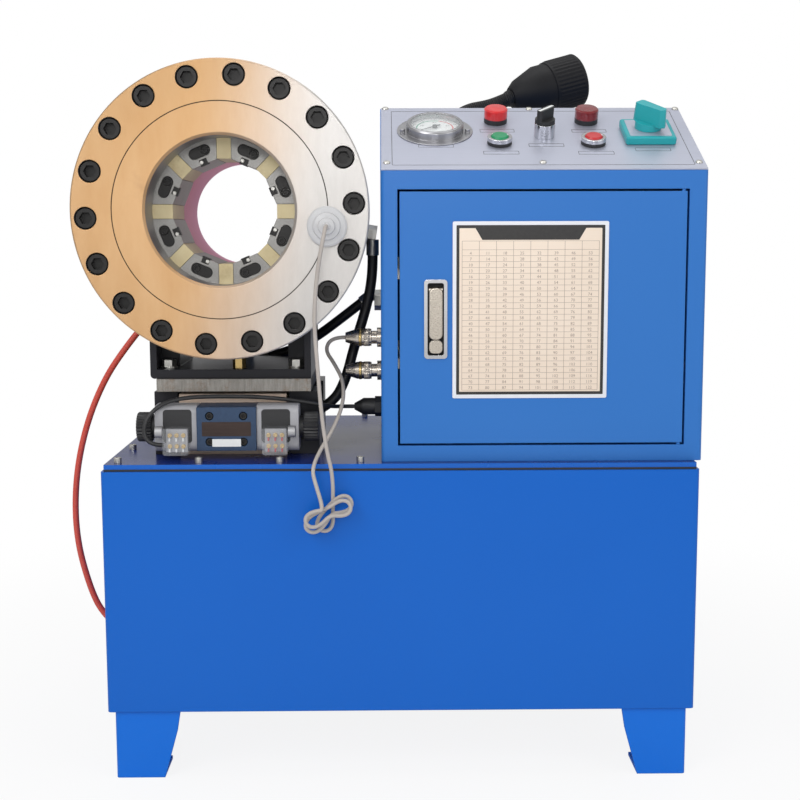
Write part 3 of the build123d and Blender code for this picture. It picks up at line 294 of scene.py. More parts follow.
@finish_of
def flange_steel(g):
    """Faced steel: fine turning rings, a painted reflection that is warm on the left and bright on
    the right, and painted shade towards the top.
    """
    offset, radius = from_head_axis(g)
    # The side mask paints the reflection: warm on the left, bright on the right
    across = offset.part(0) + offset.part(2) * -0.15
    side = (across + g.noise(7.0, 3.0) * 0.03).ramp(-0.03, 0.135)
    rings = (radius * 5200.0 + g.noise(40.0, 2.0) * 3.0).sine() * 0.5 + 0.5
    streak = g.noise(34.0, 6.0, 0.7, g.stretched(1.0, 1.0, 0.25))
    # Colours of the painted reflection, and of the painted shade at the top
    warm_reflection = streak.mix((0.56, 0.31, 0.13), (0.68, 0.45, 0.25))
    bright_reflection = streak.mix((0.42, 0.4, 0.38), (0.68, 0.66, 0.64))
    top_shade = streak.mix((0.42, 0.235, 0.1), (0.52, 0.335, 0.175))
    # Painted shade: the warm left side darkens towards the top
    steel_with_reflection = side.mix(offset.part(2).ramp(-0.02, 0.2).mix(warm_reflection, top_shade), bright_reflection)
    line = radius.band(scribed_radius / 1000, 0.0005, 0.0002)
    wall = g.node("NewGeometry", output=1).part(1).absolute().ramp(0.8, 0.3)
    steel_with_reflection = wall.mix(steel_with_reflection, (0.36, 0.35, 0.35))
    stains = g.noise(11.0, 5.0, 0.65).ramp(0.6, 0.78)
    stained = (stains * 0.35).mix(steel_with_reflection, (0.34, 0.2, 0.1))
    base = (line * 0.94).mix(stained, (0.02, 0.015, 0.01))
    height = rings * 0.12 - line * 3.0 + streak * 0.2
    return g.surface(
        Base_Color=base,
        Metallic=0.82,
        Roughness=0.34 + streak * 0.16 + stains * 0.08,
        Normal=g.bump(height, 0.35, 0.0002, g.edges(0.0012)),
    )


@finish_of
def turned_steel(g):
    """Turned steel of the cylinder and covers; the sleeve's bore is coloured pink."""
    offset, radius = from_head_axis(g)
    streak = g.noise(30.0, 5.0, 0.6, g.stretched(1.0, 9.0, 1.0))
    steel = streak.mix((0.3, 0.29, 0.31), (0.55, 0.54, 0.58))
    bore = radius.ramp(0.0715, 0.0695)
    base = bore.mix(steel, streak.mix((0.72, 0.24, 0.42), (0.92, 0.42, 0.6)))
    return g.surface(
        Base_Color=base,
        Metallic=1.0 - bore * 0.75,
        Roughness=0.38 + streak * 0.18,
        Normal=g.bump(streak, 0.2, 0.0003, g.edges(0.001)),
    )


def ground(g, dark, light, scale, metallic, rough, grain=0.3):
    """Ground or machined metal with a fine uneven grain."""
    grain_map = g.noise(scale, 6.0, 0.7, g.stretched(1.0, 0.35, 2.2))
    smear = g.noise(scale / 9, 4.0, 0.6)
    base = (grain_map * 0.6 + smear * 0.4).mix(dark, light)
    return g.surface(
        Base_Color=base,
        Metallic=metallic,
        Roughness=rough + grain_map * 0.2,
        Normal=g.bump(grain_map, grain, 0.0003, g.edges(0.0006)),
    )


shoe_steel = coat("shoe_steel", ground, (0.16, 0.155, 0.15), (0.42, 0.41, 0.39), 420.0, 0.85, 0.32)
black_oxide = coat(
    "black_oxide", ground, (0.006, 0.006, 0.007), (0.03, 0.028, 0.026), 600.0, 0.4, 0.3
)
zinc = coat("zinc", ground, (0.42, 0.41, 0.38), (0.68, 0.67, 0.63), 500.0, 0.95, 0.22)
nickel = coat("nickel", ground, (0.42, 0.37, 0.31), (0.68, 0.62, 0.54), 500.0, 1.0, 0.18)
brass = coat("brass", ground, (0.55, 0.36, 0.12), (0.78, 0.6, 0.28), 400.0, 1.0, 0.24)
# The manifold's bare steel is painted pale tan: a painted warm reflection, brightened as painted
# light where it sits in shade
manifold_steel = coat(
    "manifold_steel", ground, (0.78, 0.58, 0.45), (0.95, 0.78, 0.64), 160.0, 0.1, 0.4
)
dull_aluminium = coat("dull_aluminium", ground, (0.3, 0.3, 0.31), (0.5, 0.5, 0.51), 200.0, 0.8, 0.4)


@finish_of
def flame_cut_steel(g):
    """Mill plate with torch drag lines on its cut edges, rust and oil in the pits."""
    drag = g.noise(260.0, 5.0, 0.75, g.stretched(1.0, 1.0, 0.12))
    pits = g.noise(55.0, 6.0, 0.8)
    rust = pits.ramp(0.5, 0.72)
    steel = drag.mix((0.1, 0.09, 0.08), (0.5, 0.48, 0.44))
    base = (rust * 0.75).mix(steel, (0.2, 0.12, 0.07))
    return g.surface(
        Base_Color=base,
        Metallic=0.55 - rust * 0.4,
        Roughness=0.42 + pits * 0.35,
        Normal=g.bump(drag + pits * 0.8, 0.8, 0.0012, g.edges(0.001)),
    )


def plated(g, dark, light, rough, uneven):
    """Hazy plating on rounded edges."""
    haze = g.noise(35.0, 4.0)
    return g.surface(
        Base_Color=haze.mix(dark, light),
        Metallic=1.0,
        Roughness=rough + haze * uneven,
        Normal=g.edges(0.0005),
    )


chrome_tones = ((0.6, 0.6, 0.62), (0.78, 0.78, 0.8))
chrome = coat("chrome", plated, *chrome_tones, 0.07, 0.1)
# Duller plating of the gauge's case and flange
gauge_chrome = coat("gauge_chrome", plated, (0.36, 0.36, 0.37), (0.5, 0.5, 0.52), 0.22, 0.12)


@finish_of
def latch_chrome(g):
    """Chrome on the latch's rim, black inside its pan."""
    haze = g.noise(35.0, 4.0)
    inside = g.coords.part(1).ramp(cabinet_low.y + 0.0001, cabinet_low.y + 0.0006)
    rim = haze.mix(*chrome_tones)
    return g.surface(
        Base_Color=inside.mix(rim, (0.012, 0.012, 0.014)),
        Metallic=1.0 - inside * 0.8,
        Roughness=0.1 + haze * 0.1 + inside * 0.3,
        Normal=g.edges(0.0005),
    )


@finish_of
def brushed_plate(g):
    """Anodised panel plate, brushed from side to side, with a lavender cast."""
    brush = g.noise(900.0, 4.0, 0.7, g.stretched(0.02, 1.0, 1.0))
    cloud = g.noise(6.0, 3.0)
    base = (brush * 0.6 + cloud * 0.4).mix((0.36, 0.38, 0.46), (0.56, 0.58, 0.68))
    return g.surface(
        Base_Color=base,
        Metallic=0.55,
        Roughness=0.3 + brush * 0.2,
        Normal=g.bump(brush, 0.12, 0.0002, g.edges(0.0005)),
    )


def moulded(g, dark, light, rough, scale=700.0, strength=0.15, gloss=0.5):
    """Moulded plastic or rubber with a fine spark-eroded grain."""
    grain = g.noise(scale, 3.0)
    wear = g.noise(24.0, 4.0)
    return g.surface(
        Base_Color=(wear * 0.7 + grain * 0.3).mix(dark, light),
        Roughness=rough + wear * 0.12,
        Specular_IOR_Level=gloss,
        Normal=g.bump(grain, strength, 0.0003, g.edges(0.0006)),
    )


black_plastic = coat("black_plastic", moulded, (0.008, 0.008, 0.009), (0.028, 0.028, 0.03), 0.42)
lamp_plastic = coat(
    "lamp_plastic", moulded, (0.003, 0.003, 0.004), (0.009, 0.009, 0.011), 0.5, 900.0, 0.25, 0.25
)
black_rubber = coat("black_rubber", moulded, (0.008, 0.008, 0.009), (0.03, 0.03, 0.032), 0.4, 500.0)
red_hose = coat("red_hose", moulded, (0.52, 0.05, 0.03), (0.68, 0.09, 0.06), 0.3, 300.0, 0.08)
grey_sheath = coat("grey_sheath", moulded, (0.36, 0.32, 0.29), (0.52, 0.48, 0.44), 0.42, 500.0)
grey_plastic = coat("grey_plastic", moulded, (0.46, 0.46, 0.47), (0.64, 0.64, 0.65), 0.32)
coil_grey = coat("coil_grey", moulded, (0.28, 0.28, 0.3), (0.46, 0.46, 0.48), 0.4)
teal_plastic = coat("teal_plastic", moulded, (0.006, 0.3, 0.34), (0.02, 0.42, 0.45), 0.34)
green_cap = coat("green_cap", moulded, (0.0, 0.2, 0.07), (0.01, 0.32, 0.13), 0.28, 500.0, 0.08)
red_cap = coat("red_cap", moulded, (0.42, 0.01, 0.02), (0.6, 0.03, 0.03), 0.28, 500.0, 0.08)


def prism_lens(g, dark, light):
    """Translucent lens with fine prisms round its side."""
    cells = g.node("TexVoronoi", {}, {"Vector": g.coords, "Scale": 420.0})
    depth = g.noise(60.0, 3.0)
    return g.surface(
        Base_Color=depth.mix(dark, light),
        Roughness=0.12 + cells * 0.15,
        Coat_Weight=0.6,
        Normal=g.bump(cells, 0.35, 0.0006),
    )


red_lens = coat("red_lens", prism_lens, (0.5, 0.004, 0.01), (0.85, 0.03, 0.03))
# The unlit lens: the same moulding in a deeper red
dark_lens = coat("dark_lens", prism_lens, (0.12, 0.002, 0.006), (0.26, 0.008, 0.014))


@finish_of
def corrugated_plastic(g):
    """The bending arm's ribs, one every 3 mm along it."""
    along = g.coords.part(0) + g.coords.part(2) * 0.35
    ribs = (along * (tau / 0.003)).sine()
    wear = g.noise(40.0, 3.0)
    return g.surface(
        Base_Color=wear.mix((0.008, 0.008, 0.009), (0.022, 0.022, 0.024)),
        Roughness=0.45 + wear * 0.12,
        Normal=g.bump(ribs, 1.0, 0.0012),
    )


@finish_of
def polyurethane(g):
    """Cream cast polyurethane, darker in patches where oil has crept in."""
    cloud = g.noise(50.0, 4.0)
    oil = g.noise(22.0, 5.0, 0.7).ramp(0.52, 0.75)
    base = (oil * 0.45).mix(cloud.mix((0.6, 0.48, 0.25), (0.78, 0.68, 0.42)), (0.35, 0.24, 0.1))
    return g.surface(
        Base_Color=base,
        Roughness=0.34 + cloud * 0.2,
        Normal=g.bump(cloud, 0.2, 0.0006, g.edges(0.0008)),
    )


@finish_of
def label_brown(g):
    grain = g.noise(180.0, 4.0, 0.6, g.stretched(0.1, 1.0, 1.0))
    base = grain.mix((0.02, 0.012, 0.01), (0.07, 0.045, 0.038))
    return g.surface(Base_Color=base, Metallic=0.5, Roughness=0.3 + grain * 0.2)


@finish_of
def champagne_plate(g):
    brush = g.noise(700.0, 4.0, 0.7, g.stretched(0.03, 1.0, 1.0))
    cloud = g.noise(4.0, 2.0)
    base = (brush * 0.4 + cloud * 0.6).mix((0.72, 0.58, 0.45), (0.9, 0.8, 0.7))
    return g.surface(Base_Color=base, Metallic=0.3, Roughness=0.32 + brush * 0.15)


rim_silver = coat("rim_silver", ground, (0.66, 0.68, 0.73), (0.82, 0.83, 0.88), 260.0, 0.3, 0.34)


def inked(g, dark, light, scale=90.0, rough=0.4, uneven=0.1):
    """A flat printed or painted coat."""
    grain = g.noise(scale, 3.0)
    return g.surface(Base_Color=grain.mix(dark, light), Roughness=rough + grain * uneven)


# Etched lines and figures, brown-grey against the plate
plate_ink = coat("plate_ink", inked, (0.3, 0.22, 0.18), (0.4, 0.31, 0.26), 300.0, 0.4, 0.15)
plate_black = coat(
    "plate_black", inked, (0.012, 0.011, 0.011), (0.03, 0.028, 0.027), 300.0, 0.35, 0.15
)
dial_white = coat("dial_white", inked, (0.72, 0.74, 0.73), (0.85, 0.86, 0.85))
dial_green = coat("dial_green", inked, (0.0, 0.2, 0.1), (0.01, 0.32, 0.16))
dial_red = coat("dial_red", inked, (0.5, 0.02, 0.02), (0.7, 0.05, 0.04))


def clear(g, tint, alpha):
    haze = g.noise(30.0, 3.0)
    return g.surface(
        Base_Color=haze.mix(tint, (0.95, 0.97, 1.0)),
        Roughness=0.05 + haze * 0.08,
        Alpha=alpha + haze * 0.08,
        Coat_Weight=0.4,
    )


clear_glass = coat("clear_glass", clear, (0.85, 0.9, 0.92), 0.12)
smoky_cover = coat("smoky_cover", clear, (0.3, 0.32, 0.34), 0.16)
# ---- making pieces


def place(origin, z_axis, x_hint=(1, 0, 0)):
    """A matrix whose z axis looks along z_axis and whose x axis is near x_hint."""
    z = Vector(z_axis).normalized()
    hint = Vector(x_hint) if abs(z.dot(Vector(x_hint))) < 0.95 else Vector((0, 0, 1))
    x = (hint - z * z.dot(hint)).normalized()
    y = z.cross(x)
    matrix = Matrix((x, y, z)).transposed().to_4x4()
    matrix.translation = origin
    return matrix


def on_head(radius, angle, depth):
    """A place on the head's axis face, the angle clockwise from the top, z to the front."""
    turn = radians(angle)
    x = head_centre.x + radius / 1000 * sin(turn)
    z = head_centre.z + radius / 1000 * cos(turn)
    return place(Vector((x, head_centre.y + depth / 1000, z)), (0, -1, 0))


def on_panel(where, height=0.0):
    """A place on the panel: column and row in millimetres, z outwards."""
    u, v = where[0] / 1000, where[1] / 1000
    normal = Vector((0, -sin(panel_lean), cos(panel_lean)))
    slope = Vector((0, cos(panel_lean), sin(panel_lean)))
    above = normal * (panel_thickness + height / 1000)
    return place(panel_corner + Vector((u, 0, 0)) + slope * v + above, normal)


def ring_points(radius, steps, start=0.0):
    return [
        (radius * cos(start + tau * index / steps), radius * sin(start + tau * index / steps))
        for index in range(steps)
    ]


def rounded(width, height, radius, steps=5):
    """The outline of a rectangle with round corners, about its middle."""
    points = []
    for quarter, (sx, sy) in enumerate(((1, 1), (-1, 1), (-1, -1), (1, -1))):
        cx, cy = sx * (width / 2 - radius), sy * (height / 2 - radius)
        for step in range(steps + 1):
            turn = pi / 2 * (quarter + step / steps)
            points.append((cx + radius * cos(turn), cy + radius * sin(turn)))
    return points


class Shape:
    """A mesh under construction, in millimetres of a place, kept in metres of the frame."""

    def __init__(self):
        self.mesh = bmesh.new()

    def corner(self, matrix, x, y, z):
        return self.mesh.verts.new(matrix @ (Vector((x, y, z)) / 1000))

    def loops(self, matrix, rings):
        """Skin between equal rings of (x, y, z) points, closed at both ends."""
        made = [[self.corner(matrix, *point) for point in ring] for ring in rings]
        count = len(made[0])
        for low, high in zip(made, made[1:]):
            for index in range(count):
                after = (index + 1) % count
                self.mesh.faces.new((low[index], low[after], high[after], high[index]))
        self.mesh.faces.new(made[0][::-1])
        self.mesh.faces.new(made[-1])
        return self

    def lofted(self, matrix, levels):
        """A solid through (outline, height) levels, from low to high."""
        rings = [[(x, y, height) for x, y in outline] for outline, height in levels]
        return self.loops(matrix, rings)

    def turned(self, matrix, profile, steps=48):
        """A solid turned about z from (radius, height) points, from low to high."""
        levels = [(ring_points(radius, steps), height) for radius, height in profile]
        return self.lofted(matrix, levels)

    def prism(self, matrix, outline, start, end):
        return self.lofted(matrix, ((outline, start), (outline, end)))

    def band(self, matrix, outer, inner, start, end):
        """A frame or ring between two outlines with equally many points."""
        order = ((outer, start), (outer, end), (inner, end), (inner, start))
        made = [[self.corner(matrix, x, y, z) for x, y in outline] for outline, z in order]
        count = len(outer)
        for side in range(4):
            low, high = made[side], made[(side + 1) % 4]
            for index in range(count):
                after = (index + 1) % count
                self.mesh.faces.new((low[index], low[after], high[after], high[index]))
        return self

    def box(self, matrix, x0, x1, y0, y1, z0, z1):
        outline = ((x0, y0), (x1, y0), (x1, y1), (x0, y1))
        return self.prism(matrix, outline, z0, z1)

    def made(self, name, finish, body, slot, replaces=(), bevel=0.0, angle=35):
        bmesh.ops.recalc_face_normals(self.mesh, faces=self.mesh.faces)
        data = bpy.data.meshes.new(name)
        self.mesh.to_mesh(data)
        self.mesh.free()
        return dressed(name, data, finish, body, replaces, bevel, angle)


def added(name, data):
    """A new object in the scene."""
    made = bpy.data.objects.new(name, data)
    bpy.context.scene.collection.objects.link(made)
    return made


def dressed(name, data, finish, body, replaces=(), bevel=0.0, angle=35):
    """An object from a mesh, with its finish, soft edges and body."""
    data.materials.clear()
    data.materials.append(finish())
    for polygon in data.polygons:
        polygon.use_smooth = True
    data.set_sharp_from_angle(angle=radians(angle))
    made = added(name, data)
    if bevel:
        edge = made.modifiers.new("edge", "BEVEL")
        edge.width = bevel / 1000
        edge.segments = 2
        edge.limit_method = "ANGLE"
        edge.angle_limit = radians(angle)
        edge.harden_normals = True
    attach(made, body)
    if replaces:
        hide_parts(*replaces)
    return made


def islands(node):
    """Copies of a node's separate solids, as meshes sorted by volume, largest first."""
    whole = bmesh.new()
    whole.from_mesh(nodes[node].data)
    bmesh.ops.remove_doubles(whole, verts=whole.verts, dist=0.000002)
    bmesh.ops.dissolve_limit(
        whole, angle_limit=radians(0.5), verts=whole.verts, edges=whole.edges
    )
    whole.faces.index_update()
    left = set(whole.faces)
    found = []
    for first in whole.faces:
        if first not in left:
            continue
        left.remove(first)
        group, edge = {first}, {first}
        while edge:
            near = {other for face in edge for e in face.edges for other in e.link_faces}
            edge = near & left
            group |= edge
            left -= edge
        piece = bmesh.new()
        corners = {}
        for face in sorted(group, key=lambda f: f.index):
            for vert in face.verts:
                if vert not in corners:
                    corners[vert] = piece.verts.new(vert.co)
            piece.faces.new([corners[vert] for vert in face.verts])
        data = bpy.data.meshes.new(node)
        found.append((abs(piece.calc_volume()), data))
        piece.to_mesh(data)
        piece.free()
    whole.free()
    return [data for size, data in sorted(found, key=lambda pair: -pair[0])]


def middle(data):
    """The middle of a mesh's box."""
    points = [vertex.co for vertex in data.vertices]
    return Vector(
        [(min(p[axis] for p in points) + max(p[axis] for p in points)) / 2 for axis in range(3)]
    )


# ---- camera, light and floor


def camera():
    """The view from the front, looking slightly down."""
    data = bpy.data.cameras.new("camera")
    data.sensor_width = 36.0
    data.lens = 59.625
    made = added("camera", data)
    made.location = at(-19.35, -1522.1, 649.7)
    yaw, pitch, roll = 0.0122, 0.1263, -0.0028
    turned = Matrix.Rotation(-yaw, 4, "Z") @ Matrix.Rotation(pi / 2 - pitch, 4, "X")
    made.rotation_euler = (turned @ Matrix.Rotation(roll, 4, "Z")).to_euler()
    bpy.context.scene.camera = made


def area_light(name, position, target, size, power, colour=(1, 1, 1)):
    data = bpy.data.lights.new(name, "AREA")
    data.shape = "RECTANGLE"
    data.size, data.size_y = size
    data.energy = power
    data.color = colour
    made = added(name, data)
    made.location = position
    made.rotation_euler = (Vector(target) - Vector(position)).to_track_quat("-Z", "Y").to_euler()


def lights():
    focus = at(0, 150, 450)
    area_light("key", at(-1500, -1900, 2100), focus, (1.6, 1.6), 30.0)
    area_light("fill", at(1900, -1500, 1500), focus, (1.4, 2.0), 13.0)
    area_light("front", at(0, -2600, 900), focus, (2.6, 1.4), 4.0)
    area_light("sheen", at(-60, -2150, 1130), at(60, 0, 760), (0.5, 0.3), 6.0)
    area_light("top", at(0, 300, 2600), focus, (2.0, 1.6), 18.0)


def world():
    made = bpy.data.worlds.new("studio")
    bpy.context.scene.world = made
    made.use_nodes = True
    tree = made.node_tree
    background = tree.nodes["Background"]
    path = tree.nodes.new("ShaderNodeLightPath")
    seen = tree.nodes.new("ShaderNodeMath")
    seen.operation = "MAXIMUM"
    tree.links.new(path.outputs["Is Camera Ray"], seen.inputs[0])
    tree.links.new(path.outputs["Is Transmission Ray"], seen.inputs[1])
    strength = tree.nodes.new("ShaderNodeMapRange")
    strength.inputs["To Min"].default_value = 0.42
    strength.inputs["To Max"].default_value = 1.0
    glossy = tree.nodes.new("ShaderNodeMath")
    glossy.operation = "MULTIPLY_ADD"
    tree.links.new(path.outputs["Is Glossy Ray"], glossy.inputs[0])
    glossy.inputs[1].default_value = 0.2
    tree.links.new(seen.outputs[0], glossy.inputs[2])
    tree.links.new(glossy.outputs[0], strength.inputs["Value"])
    tree.links.new(strength.outputs[0], background.inputs["Strength"])
    background.inputs["Color"].default_value = (1, 1, 1, 1)


def floor():
    """A pale floor that fades into the white behind it."""
    g = Graph("pale_floor")
    away = g.distance(g.relative(at(0, 200, 0)))
    far = 0.88 + away.ramp(0.45, 1.3) * 0.12
    grain = g.noise(9.0, 3.0)
    g.surface(Base_Color=grain.mix((0.86, 0.86, 0.87), (0.9, 0.9, 0.91)), Roughness=0.6)
    tree = g.tree
    glow = tree.nodes.new("ShaderNodeEmission")
    seen = g.node("LightPath", output=0)
    blend = tree.nodes.new("ShaderNodeMixShader")
    g.feed(blend.inputs[0], far * seen)
    tree.links.new(g.shader.outputs[0], blend.inputs[1])
    tree.links.new(glow.outputs[0], blend.inputs[2])
    tree.links.new(blend.outputs[0], tree.nodes["Material Output"].inputs["Surface"])
    data = bpy.data.meshes.new("floor")
    reach = 9.0
    corners = [(-reach, -reach, 0), (reach, -reach, 0), (reach, reach, 0), (-reach, reach, 0)]
    data.from_pydata(corners, [], [(0, 1, 2, 3)])
    data.materials.append(g.material)
    added("floor", data)


# ---- hoses and cables


def route_length(points):
    """The length of the smooth line through a route, read from the spline itself."""
    data = bpy.data.curves.new("measure", "CURVE")
    data.dimensions = "3D"
    add_spline(data, points)
    measure = bpy.data.objects.new("measure", data)
    line = bpy.data.meshes.new_from_object(measure)
    along = [vertex.co.copy() for vertex in line.vertices]
    bpy.data.objects.remove(measure)
    bpy.data.meshes.remove(line)
    return sum((b - a).length for a, b in zip(along, along[1:]))


def add_spline(data, points):
    spline = data.splines.new("NURBS")
    spline.points.add(len(points) - 1)
    for point, (x, y, z) in zip(spline.points, points):
        point.co = (*at(x, y, z), 1.0)
    spline.order_u = 3
    spline.use_endpoint_u = True
    spline.resolution_u = 12


def hose(name, points, diameter, finish, slot, replaces, stiffness="medium", lay="hanging"):
    """A hose or cable along a route, its ends in the fittings that the frame holds."""
    length = route_length(points)
    data = bpy.data.curves.new(name, "CURVE")
    data.dimensions = "3D"
    data.bevel_depth = diameter / 2000
    data.bevel_resolution = 6
    data.use_fill_caps = True
    add_spline(data, points)
    data.materials.append(finish())
    made = added(name, data)
    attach(made, "machine")
    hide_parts(*replaces)
    diameter / 1000


feed_route = [
    (-33, 175, 620), (-33, 175, 593), (-42, 173, 551), (-57, 169, 505),
    (-68, 163, 462), (-85, 160, 432), (-111, 160, 420),
]
return_route = [
    (-48, 240, 557), (-75, 243, 536), (-111, 253.5, 509), (-147, 260.5, 490),
    (-173, 264, 484),
]
drain_route = [
    (-330.3, 165, 525.8), (-349.6, 165, 502.8), (-378, 165, 461), (-403, 165, 401),
    (-418, 165, 331), (-419, 165, 258), (-404, 165, 193), (-388, 165, 156),
    (-370, 165, 140),
]
drop_route = [
    (-83.6, -17.5, 656), (-83.6, -31, 656), (-85.5, -39.5, 645.5), (-89.5, -38, 626),
    (-95, -28, 594), (-98.5, -20, 548), (-95, -17.5, 498), (-91.5, -16.5, 446),
    (-86, -16, 402), (-78.5, -16, 371), (-78.5, -16, 351),
]
rise_route = [
    (-99, -16, 351), (-99, -16, 362), (-103, -11, 377), (-95, 1, 396),
    (-80, 20, 418), (-68, 46, 445), (-68, 74, 470), (-80, 94, 490),
    (-92, 106, 506), (-83, 110, 520.7), (-66.5, 110, 520.7),
]
valve_cable_route = [
    (-279.3, 24, 401), (-293.5, 24, 401), (-303, 25, 413), (-300, 27, 432),
    (-283, 34, 449), (-255, 46, 455), (-215, 54, 455), (-172, 56.5, 454),
    (-130, 58, 450), (-92, 68, 442), (-82, 93, 437), (-71.5, 110, 434.9),
    (-56, 110, 434.9),
]
hank_centre = (-85.5, -16.0, 326.5)
sensor_lead_diameter = 4.6


def hank_turns():
    """The spare cable's loops, gathered at a tie: two to the right and three to the lower left.

    Each loop leaves the tie about where the last one comes in, so nothing kinks.
    """
    x, y, z = hank_centre
    tie = (x + 2.0, z + 3.0)
    right = ((24, 28.0, 12.5), (15, 26.0, 12.0))
    left = ((252, 27.0, 12.5), (222, 34.0, 13.5), (206, 29.0, 12.5))
    lobes = (left[0], right[0], left[1], right[1], left[2])
    steps = 12
    points = []
    for turn, (heading, reach, wide) in enumerate(lobes):
        along = Vector((cos(radians(heading)), sin(radians(heading))))
        across = Vector((-along.y, along.x))
        for step in range(steps):
            angle = pi * (step + 0.5) / steps
            spot = along * reach * sin(angle) + across * wide * cos(angle) * (0.3 + sin(angle))
            depth = y + sensor_lead_diameter * (2 - turn - (step + 0.5) / steps + 0.5)
            points.append((tie[0] + spot.x, depth, tie[1] + spot.y))
    return points


def cords():
    black = (black_rubber, "black_rubber")
    hose("feed_hose_line", feed_route, 13.0, *black, ["feed_hose"])
    hose("return_hose_line", return_route, 13.0, *black, ["return_hose"])
    hose("drain_hose_line", drain_route, 8.0, red_hose, "red_rubber", ["drain_hose"])
    hose("valve_lead", valve_cable_route, 5.0, *black, ["valve_cable"], lay="loose")
    whole = drop_route[:-1] + hank_turns() + rise_route[1:]
    stretches = [f"sensor_cable_{stretch}" for stretch in ("drop", "hank", "rise")]
    grey = (grey_sheath, "grey_cable")
    hose("sensor_lead", whole, sensor_lead_diameter, *grey, stretches, stiffness="limp")


# ---- shared shapes


def hexagon_points(flats, steps_per_side=4):
    """A hexagon with points along its sides, to skin against a circle."""
    points = []
    apothem = flats / 2
    for side in range(6):
        middle_turn = pi / 6 + side * pi / 3
        for step in range(steps_per_side):
            swing = -pi / 6 + pi / 3 * step / steps_per_side
            radius = apothem / cos(swing)
            points.append((radius * cos(middle_turn + swing), radius * sin(middle_turn + swing)))
    return points


def star_points(high, low, count, steps=4):
    """A fluted circle: rounded ribs between grooves."""
    total = count * steps
    points = []
    for index in range(total):
        rise = 0.5 + 0.5 * cos(tau * index / steps)
        radius = low + (high - low) * rise
        points.append((radius * cos(tau * index / total), radius * sin(tau * index / total)))
    return points


def socket_screw(shape, matrix, radius, height, flats, depth):
    """A cap screw's head with its top at z = 0 and a hexagon socket in it."""
    ring = ring_points(radius, 24, pi / 24)
    crown = ring_points(radius * 0.92, 24, pi / 24)
    socket = hexagon_points(flats)
    sides = ((ring, -height), (ring, -radius * 0.09), (crown, 0.0))
    shape.lofted(matrix, (*sides, (socket, 0.0), (socket, -depth)))


def screwed_down(shape, matrix, radius, height):
    """A domed cross-recessed screw on a face."""
    profile = [(radius, 0.0), (radius, height * 0.3)]
    profile += [(radius * 0.8, height * 0.8), (radius * 0.45, height)]
    shape.turned(matrix, profile, 24)
    for turn in (0.4, 0.4 + pi / 2):
        slot = matrix @ Matrix.Rotation(turn, 4, "Z")
        shape.box(slot, -radius * 0.5, radius * 0.5, -0.35, 0.35, height, height + 0.06)


def printed(name, text, matrix, size, finish, body, spacing=1.0):
    """Flat figures on a face."""
    data = bpy.data.curves.new(name, "FONT")
    data.body = text
    data.size = size / 1000
    data.space_line = spacing
    data.align_x = "CENTER"
    data.align_y = "CENTER" if "\n" not in text else "TOP"
    data.resolution_u = 2
    source = bpy.data.objects.new(name, data)
    flat = bpy.data.meshes.new_from_object(source)
    bpy.data.objects.remove(source)
    flat.transform(matrix)
    return dressed(name, flat, finish, body)


# ---- crimping head


# Millimetres and degrees on the head, depths from the flange's face to the rear
screw_circle = 153.6
first_screw_angle = 7
front_screw_count = 18
rear_screw_count = 9
screw_head_radius = 12.0
screw_socket = (13.0, 8.0)
front_screw_depth = 1.5
rear_screw_depth = 298.0
shoe_count = 8
die_seat_closed = 43.1
shoe_travel = 16.4
shoe_face_depth = 51.3


def head_screws():
    """Socket screws in the front flange and in the rear cover."""
    shape = Shape()
    for index in range(front_screw_count):
        turn = first_screw_angle + 360 / front_screw_count * index
        matrix = on_head(screw_circle, turn, front_screw_depth)
        socket_screw(shape, matrix, screw_head_radius, 15.5, *screw_socket)
    for index in range(rear_screw_count):
        turn = first_screw_angle + 360 / rear_screw_count * index
        matrix = on_head(screw_circle, turn, rear_screw_depth) @ Matrix.Rotation(pi, 4, "X")
        socket_screw(shape, matrix, screw_head_radius, 15.0, *screw_socket)
    shape.made("flange_screws", black_oxide, "machine", "black_steel", ["head_screws"])


def shoes():
    """Each shoe's steel body, its black die retainer, and the retainer's screw, latch and pin."""
    step = 360 / shoe_count
    for index in range(shoe_count):
        node = f"shoe_{index + 1}"
        body, clip, screw = islands(node)
        dressed(f"{node}_steel", body, shoe_steel, node, [node], bevel=0.5)
        dressed(f"{node}_retainer", clip, black_oxide, node, bevel=0.3)
        spot = middle(screw)
        shape = Shape()
        matrix = place(Vector((spot.x, spot.y - 0.0018, spot.z)), (0, -1, 0))
        socket_screw(shape, matrix, 4.3, 2.0, 4.0, 1.6)
        shape.made(f"{node}_screw", black_oxide, node, "shoe_steel")
        turn = radians(90 - step * (index + 0.5))
        radius = die_seat_closed + shoe_travel + 3.2
        notch = Vector((radius * cos(turn), shoe_face_depth + 1.0, radius * sin(turn))) / 1000
        latch = place(head_centre + notch, (0, -1, 0)) @ Matrix.Rotation(turn, 4, "Z")
        block = Shape().prism(latch, rounded(9.0, 11.0, 1.0), -8.0, 0.4)
        block.made(f"{node}_die_latch", black_oxide, node, "shoe_steel", bevel=0.4)
        beside = latch @ Matrix.Translation((0, 0.0025, 0))
        pin = Shape().turned(beside, [(2.4, 0.3), (2.4, 1.0), (1.9, 1.5)], 20)
        pin.made(f"{node}_pin", zinc, node, "shoe_steel")


def squeezed_blocks():
    """Each block sits between two shoes and follows one of them."""
    hides = ["spring_blocks"]
    for index, data in enumerate(islands("spring_blocks")):
        spot = middle(data)
        turn = atan2(spot.x - head_centre.x, spot.z - head_centre.z)
        shoe = f"shoe_{round(turn / (tau / shoe_count)) % shoe_count + 1}"
        name = f"spring_block_{index + 1}"
        block = dressed(name, data, polyurethane, shoe, hides)
        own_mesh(block)
        hides = []


